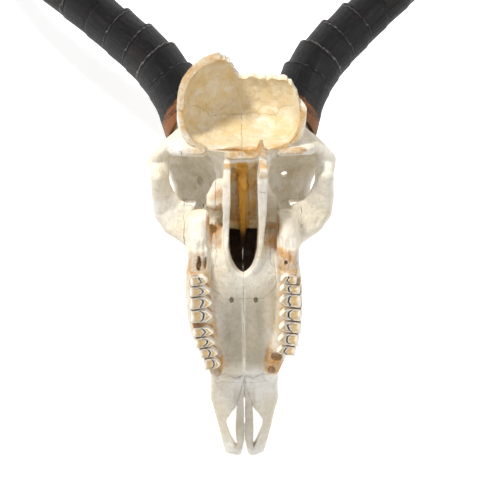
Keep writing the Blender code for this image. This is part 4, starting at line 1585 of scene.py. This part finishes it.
    def openings(self) -> list[bpy.types.Object]:
        """Fissures, foramina, empty tooth sockets, saw cut and break.

        Returns:
            The cutters.
        """
        outline = (
            (4.8, 38.5), (6.6, 35.5), (9.2, 31.5), (11.2, 27.5), (11.9, 24), (11.2, 20), (9.2, 14.5),
            (6.6, 8.6), (5.4, 7.2), (5.3, 12), (5.7, 20), (5.3, 30),
        )
        slit = ((-0.9, -5), (0.9, -5), (0.7, 9), (0.2, 14), (-0.2, 14), (-0.7, 9))
        tilt = Matrix.Rotation(math.radians(25), 3, "X")
        made = Clay.both(
            [
                Clay.prism(outline, -16, 4, "Z"),
                Clay.ball((30, 74, -19), (6, 4, 2.6)),
                Clay.ball((7.4, 116, -2), (1.4, 2.2, 3)),
                Clay.ball((25, 133, -64), (9, 8.5, 2.4), tilt),
            ]
        )
        made += [Clay.ball((-16.6, 64.5, 0), (2.6, 3.6, 4)), Clay.ball((17, 66, 0), (2.6, 3.6, 4))]
        made += [Clay.ball((20.4, 76.5, 0), (3.8, 3.6, 4.2)), Clay.prism(slit, -16, 4, "Z")]
        made += [Clay.ball((0, 96, 8), (16, 50, 11))]
        made += [Clay.ball((-27, 140.5, -3), (1.9, 4.6, 5)), Clay.ball((-22.6, 141, -3), (1.2, 4, 5))]
        made += [Clay.ball((26, 141, -3), (1.5, 2, 4))]
        made += [Clay.ball((-15, 176, -37), (1.1, 1.1, 3)), Clay.ball((-12.4, 169, -36.5), (1.6, 3.4, 1.8))]
        slanted = Matrix.Rotation(math.radians(34), 3, "X")
        made += [Clay.ball((27, 165, -86), (2.4, 2.4, 12))]
        made += [Clay.ball((-27, 165, -85), (2.3, 2.3, 13), slanted)]
        ragged = Suture("break", (), 0, 0, "Z", waver=1.1).wandering(self.broken_edge)
        made += [self.saw(), Clay.prism(ragged, -110, -40, "Z")]
        return made

    def saw(self) -> bpy.types.Object:
        """Block behind the saw cut that opened the braincase.

        Returns:
            The cutter.
        """
        slope = math.radians(self.saw_slope_deg)
        along = Vector((0, math.cos(slope), -math.sin(slope)))
        out = Vector((0, math.sin(slope), math.cos(slope)))
        start = Vector(self.saw_point)
        near, far = start - along * self.saw_lead, start + along * 90
        corners = (near, far, far + out * 90, near + out * 90)
        return Clay.prism([(c.y, c.z) for c in corners], -60, 60, "X")

    def mass(self, horns: Sequence[Horn]) -> bpy.types.Object:
        """The whole skull in one skin, without its teeth.

        Args:
            horns: The horns whose seats are cut and whose cores are added.

        Returns:
            The lump.
        """
        thin = [*self.cheek(), *self.palate_walls(), *self.body(), self.keel(), *self.muzzle()]
        mass = Clay.melted([self.bulk(), *thin], self.grain, self.softening)
        Clay.carved(mass, self.openings())
        for scroll in self.scrolls():
            Clay.combined(mass, scroll, "UNION")
        for horn in horns:
            stations = [0.0, *horn.evenly(90)[3:40]]
            seat = horn.skin(horn.seat_slack, 40, stations)
            Clay.combined(seat, self.hollow(self.case_wall), "DIFFERENCE")
            Clay.combined(mass, horn.placed(seat), "DIFFERENCE")
            Clay.combined(mass, horn.placed(horn.core(0)), "UNION")
        Clay.carved(mass, [self.hollow(0)])
        return Clay.largest(Clay.combined(mass, self.spur(), "UNION"))

    def build(self, horns: Sequence[Horn], material: bpy.types.Material) -> dict[str, bpy.types.Object]:
        """The named bones in the world frame.

        Args:
            horns: The horns whose seats are cut and whose cores are added.
            material: The bone material.

        Returns:
            Bones by the name of the node that each stands for.
        """
        mass = self.mass(horns)
        LOG.info("skull in one skin: %d faces", len(mass.data.polygons))
        self.weathered(mass)
        made: dict[str, bpy.types.Object] = {}
        for suture in SUTURES:
            made |= suture.cut(mass)
        made |= Suture("frontal", (), 0, 0, "Z").halved(Clay.largest(mass))
        for name, bone in made.items():
            bone.name = f"bone_{name}"
            self.coloured(bone)
            bone.data.transform(REST.matrix())
            bone.data.materials.clear()
            bone.data.materials.append(material)
            self.shaded(bone)
        return made

    def weathered(self, mass: bpy.types.Object) -> None:
        """Gives the skin the small unevenness of real bone.

        Args:
            mass: The whole skull, whose points are moved.
        """
        shape = bmesh.new()
        shape.from_mesh(mass.data)
        shape.normal_update()
        places = np.array([vert.co for vert in shape.verts])
        inner = eased(self.depth(*places.T), 1.05, 1.01)
        side = np.abs(places[:, 0])
        broken = eased(places[:, 1], 222, 232) * (1 - inner)
        deep = eased(side, 10, 8) * eased(places[:, 2], -28, -34)
        deep *= banded(places[:, 1], (118, 124), (190, 196))
        folded = banded(side, (18, 21), (33, 36)) * banded(places[:, 1], (133, 138), (151, 155))
        folded *= banded(places[:, 2], (-40, -34), (-3, 1))
        for vert, hollow, edge, rough, fold in zip(shape.verts, inner, broken, deep, folded):
            spot = vert.co.copy()
            swell = noise.noise(spot * 0.11) * 0.35 + noise.noise(spot * 0.31) * 0.16
            swell += hollow * (noise.noise(spot * 0.085) * 1.5 + noise.noise(spot * 0.2) * 0.6)
            swell = min(0.3 + 0.7 * hollow, swell) + edge * noise.noise(spot * 0.6) * 0.3
            swell += rough * noise.noise(spot * 0.42) * 0.7
            for middle, wide in self.folds:
                arc = spot.y - 210.5 + ((spot.x - middle) / wide) ** 2 * 2.6
                swell += hollow * 0.8 * math.exp(-((arc / 1.5) ** 2) - ((spot.x - middle) / wide) ** 4)
            swell += fold * noise.noise(Vector((spot.x * 0.45, spot.y * 0.08, spot.z * 0.1))) * 1.8
            vert.co = spot + vert.normal * swell
        shape.to_mesh(mass.data)
        shape.free()

    def depth(self, x: np.ndarray, y: np.ndarray, z: np.ndarray) -> np.ndarray:
        """Distance from the middle of the braincase, 1 at its inner wall.

        Args:
            x, y, z: Places of the points.

        Returns:
            The distances.
        """
        across, back, front, roof, palate = self.case_inner
        along = y - self.case_centre[1]
        power = np.where(along > 0, self.case_round, self.case_square)
        plan = (np.abs(x) / across) ** power + (np.abs(along) / np.where(along > 0, back, front)) ** power
        deep = z - self.case_centre[2]
        return np.sqrt(plan ** (2 / power) + (deep / np.where(deep > 0, palate, roof)) ** 2)

    def shaded(self, bone: bpy.types.Object) -> None:
        """Smooth shading with the sawn and cut edges kept crisp.

        Args:
            bone: The bone.
        """
        shape = bmesh.new()
        shape.from_mesh(bone.data)
        for face in shape.faces:
            face.smooth = True
        for edge in shape.edges:
            edge.smooth = edge.calc_face_angle(0.0) < math.radians(48)
        shape.to_mesh(bone.data)
        shape.free()

    def coloured(self, bone: bpy.types.Object) -> None:
        """Writes where the bone is tan, ochre, brown or grey on its points; the grey in the deep orbit is
        painted shade.

        Args:
            bone: The bone, still in the skull's own frame.
        """
        count = len(bone.data.vertices)
        flat = np.empty(count * 3)
        bone.data.vertices.foreach_get("co", flat)
        x, y, z = flat.reshape(-1, 3).T
        side = np.abs(x)
        ball = self.depth(x, y, z)
        vault = eased(ball, 1.05, 1.01)
        slope = math.radians(self.saw_slope_deg)
        sawn = (y - self.saw_point[1]) * math.sin(slope) + (z - self.saw_point[2]) * math.cos(slope)
        cut = eased(sawn, -1.2, -0.3) * eased(y, 190, 193) * eased(ball, 1.0, 1.03)
        lip = vault * eased(sawn, -8, -0.5)
        cells = banded(x, (-13, -10), (-2, 0)) * eased(y, 227, 232) * eased(ball, 1.0, 1.04)
        inside = self.within_nose(side, y, z)
        passage = eased(side, 9.5, 8) * banded(y, (132, 140), (192, 196)) * eased(z, -26, -34)
        keel = passage * eased(side, 3.4, 2.4) * eased(z, -42, -37)
        recess = banded(side, (12, 14), (20, 26)) * banded(z, (-40, -34), (-16, -9))
        recess *= banded(y, (134, 142), (164, 174))
        cell = eased(np.sqrt((x + 13) ** 2 + (y - 172) ** 2), 8, 4) * banded(z, (-46, -42), (-30, -26))
        orbit = np.sqrt(((side - 43) / 29) ** 2 + ((y - 167) / 22.5) ** 2 + ((z + 62.5) / 21.5) ** 2)
        # Painted shade: the socket mask greys the deep half of the orbit cavity.
        socket = eased(orbit, 1.14, 1.04) * eased(z, -56, -68)
        stump = eased(np.sqrt((side - 33) ** 2 + (y - 199) ** 2 + (z + 89) ** 2), 24, 16)
        tuber = banded(side, (18, 22), (32, 36)) * banded(y, (136, 140), (146, 150)) * eased(z, -20, -8)
        pits = banded(side, (12, 15), (22, 26)) * banded(y, (60, 64), (78, 84)) * eased(z, -6, -3)
        row = np.interp(y, (60, 92, 120, 140), (17, 24.6, 27, 27.4))
        gum = eased(np.abs(side - row), 10, 6.5) * eased(z, -9, -3) * banded(y, (60, 68), (136, 142))
        under = eased(z, -9, -6)
        palate = banded(side, (0, 1.6), (9, 19)) * banded(y, (54, 74), (106, 134)) * under
        bars = eased(side, 9, 6) * banded(y, (2, 8), (46, 58)) * eased(z, -13, -8)
        joint = beside(side, y, (0.3, 57), (5.2, 38), 0.8) + beside(side, y, (14, 62), (5.5, 58), 0.8)
        joint = np.clip(joint + beside(side, y, (5.5, 58), (0.5, 60.5), 0.8), 0, 1) * eased(z, -12, -7)
        hollows = recess * 0.5 + tuber * 0.42 + pits * 0.3 + cell * 0.45
        values = {
            "tan": vault * 0.6 + cut * 0.4 + passage * 0.7 + socket * 0.15 + gum * 0.4,
            "ochre": hollows + cut * 0.34 + lip * 0.42 + gum * 0.24,
            "amber": keel * 0.6 + passage * 0.34,
            "brown": inside * 0.8 + stump * 0.3 + cells * 0.45 + joint * 0.4,
            # Grey: painted shade in the deep orbit (socket); bone colour on the palate and the bars.
            "grey": socket * 0.42 + palate * 0.74 + bars * 0.5,
        }
        for name, value in values.items():
            layer = bone.data.attributes.new(name, "FLOAT", "POINT")
            layer.data.foreach_set("value", np.clip(value, 0, 1).astype(np.float32))

    def within_nose(self, side: np.ndarray, y: np.ndarray, z: np.ndarray) -> np.ndarray:
        """Share to which points lie inside the nose's cavity.

        Args:
            side: Distances from the middle plane.
            y, z: Places of the points.

        Returns:
            The shares.
        """
        rows = np.array(self.nose)
        low, roof, wide, narrow = (np.interp(y, rows[:, 0], rows[:, k]) for k in range(1, 5))
        height = np.clip((z - roof) / (low - roof), 0, 1)
        half = narrow + (wide - narrow) * height
        within = eased(side, half + 1.2, half - 0.5) * eased(z, low + 1.2, low - 0.8)
        within *= eased(z, roof - 1.5, roof)
        return within * eased(y, 96, 118) * eased(y, 150, 142)


# The setting


@dataclass
class Studio:
    """Pale floor, soft lights and the camera of the photograph."""

    pitch_deg: float = 26.0
    roll_deg: float = -0.57
    distance: float = 0.9
    width_at_distance: float = 0.288
    target_mm: tuple[float, float, float] = (-1.8, 157.7, 0.0)

    def camera(self) -> None:
        """Camera behind and below the skull's own palate, as the photograph was taken."""
        turn = REST.matrix().to_3x3().normalized()
        pitch = math.radians(self.pitch_deg)
        back = (turn @ Vector((0, math.sin(pitch), math.cos(pitch)))).normalized()
        up = (turn @ Vector((0, math.cos(pitch), -math.sin(pitch)))).normalized()
        right = up.cross(back)
        pose = Matrix((right, up, back)).transposed() @ Matrix.Rotation(math.radians(self.roll_deg), 3, "Z")
        data = bpy.data.cameras.new("camera")
        data.sensor_width = 36
        data.lens = 36 * self.distance / self.width_at_distance
        data.clip_start = 0.01
        data.clip_end = 20
        made = bpy.data.objects.new("camera", data)
        target = REST.matrix() @ Vector(self.target_mm)
        made.matrix_world = Matrix.Translation(target + back * self.distance) @ pose.to_4x4()
        bpy.context.scene.collection.objects.link(made)
        bpy.context.scene.camera = made

    def floor(self) -> None:
        """Plain pale floor."""
        shape = bmesh.new()
        bmesh.ops.create_grid(shape, x_segments=1, y_segments=1, size=6)
        made = Clay.lump(shape, "floor")
        book = NodeBook("floor")
        grain = book.speckle(6, 2)
        colour = book.mix(grain, (0.8, 0.8, 0.8), (0.82, 0.82, 0.82))
        book.finish(colour, 0.8, grain, 0.02)
        book.shader.inputs["Emission Color"].default_value = (1, 1, 1, 1)
        book.shader.inputs["Emission Strength"].default_value = 0.6
        made.data.materials.append(book.material)

    def light(
        self, place: Sequence[float], power: float, size: float, warmth: Sequence[float] = (1, 1, 1)
    ) -> None:
        """Square soft light that faces the skull.

        Args:
            place: Where it hangs, in metres.
            power: Watts.
            size: Length of its sides.
            warmth: Its colour.
        """
        data = bpy.data.lights.new("light", "AREA")
        data.energy = power
        data.size = size
        data.color = warmth
        made = bpy.data.objects.new("light", data)
        aim = Vector((0, -0.15, 0.05)) - Vector(place)
        made.matrix_world = Matrix.Translation(place) @ aim.to_track_quat("-Z", "Y").to_matrix().to_4x4()
        bpy.context.scene.collection.objects.link(made)

    def build(self) -> None:
        """Sets everything up."""
        self.camera()
        self.floor()
        world = bpy.data.worlds.new("studio")
        world.use_nodes = True
        world.node_tree.nodes["Background"].inputs["Color"].default_value = (1, 1, 1, 1)
        world.node_tree.nodes["Background"].inputs["Strength"].default_value = 0.5
        bpy.context.scene.world = world
        self.light((-0.7, 0.75, 1.3), 25, 0.3, (1, 0.98, 0.94))
        self.light((0.9, -0.6, 1.1), 3, 1.0)
        bpy.context.scene.view_settings.view_transform = "Standard"


LEFT_LOBES = (
    (137.0, 130.3, 26.4, 10.5), (130.0, 123.0, 26.0, 12.6), (122.6, 114.2, 25.6, 13.6),
    (113.9, 104.6, 25.4, 13.6), (101.6, 94.9, 24.6, 13.0), (94.5, 87.2, 23.6, 12.4),
    (86.8, 79.9, 21.4, 11.4), (79.6, 71.2, 19.4, 10.2),
)
RIGHT_LOBES = (
    (137.0, 131.0, 27.0, 10.0), (130.6, 124.3, 27.8, 12.6), (124.0, 114.8, 28.0, 13.4),
    (114.2, 105.4, 28.2, 13.8), (104.9, 96.9, 28.0, 13.8), (96.6, 87.9, 26.9, 13.0),
    (87.5, 81.0, 25.6, 11.8),
)


def main() -> None:
    """Builds the studio, the bones, the teeth and the horns."""
    logging.basicConfig(level=logging.INFO, format="%(name)s: %(message)s")
    noise.seed_set(7)
    Studio().build()
    horns = [Horn(Side.LEFT, 2.9, -1.0), Horn(Side.RIGHT, -0.4, -2.2)]
    cranium = Cranium()
    for name, bone in cranium.build(horns, BoneFinish().material()).items():
        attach(bone, "root")
        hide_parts(name)
        LOG.info("bone %s: %d faces", name, len(bone.data.polygons))
    enamel = EnamelFinish().material()
    for side, lobes in ((Side.LEFT, LEFT_LOBES), (Side.RIGHT, RIGHT_LOBES)):
        teeth = ToothRow(side, lobes).build(enamel)
        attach(teeth, "root")
        LOG.info("teeth %s: %d faces", side.value, len(teeth.data.polygons))
    keratin = HornFinish().material()
    for horn in horns:
        clear = cranium.hollow(cranium.case_wall + horn.seat_slack)
        sheath = horn.sheath(clear, keratin)
        sheath.name = f"sheath_{horn.side.value}"
        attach(sheath, "root")
        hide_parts(f"horn_sheath_{horn.side.value}")
        LOG.info("horn %s: %d faces", horn.side.value, len(sheath.data.polygons))


if __name__ == "__main__":
    main()
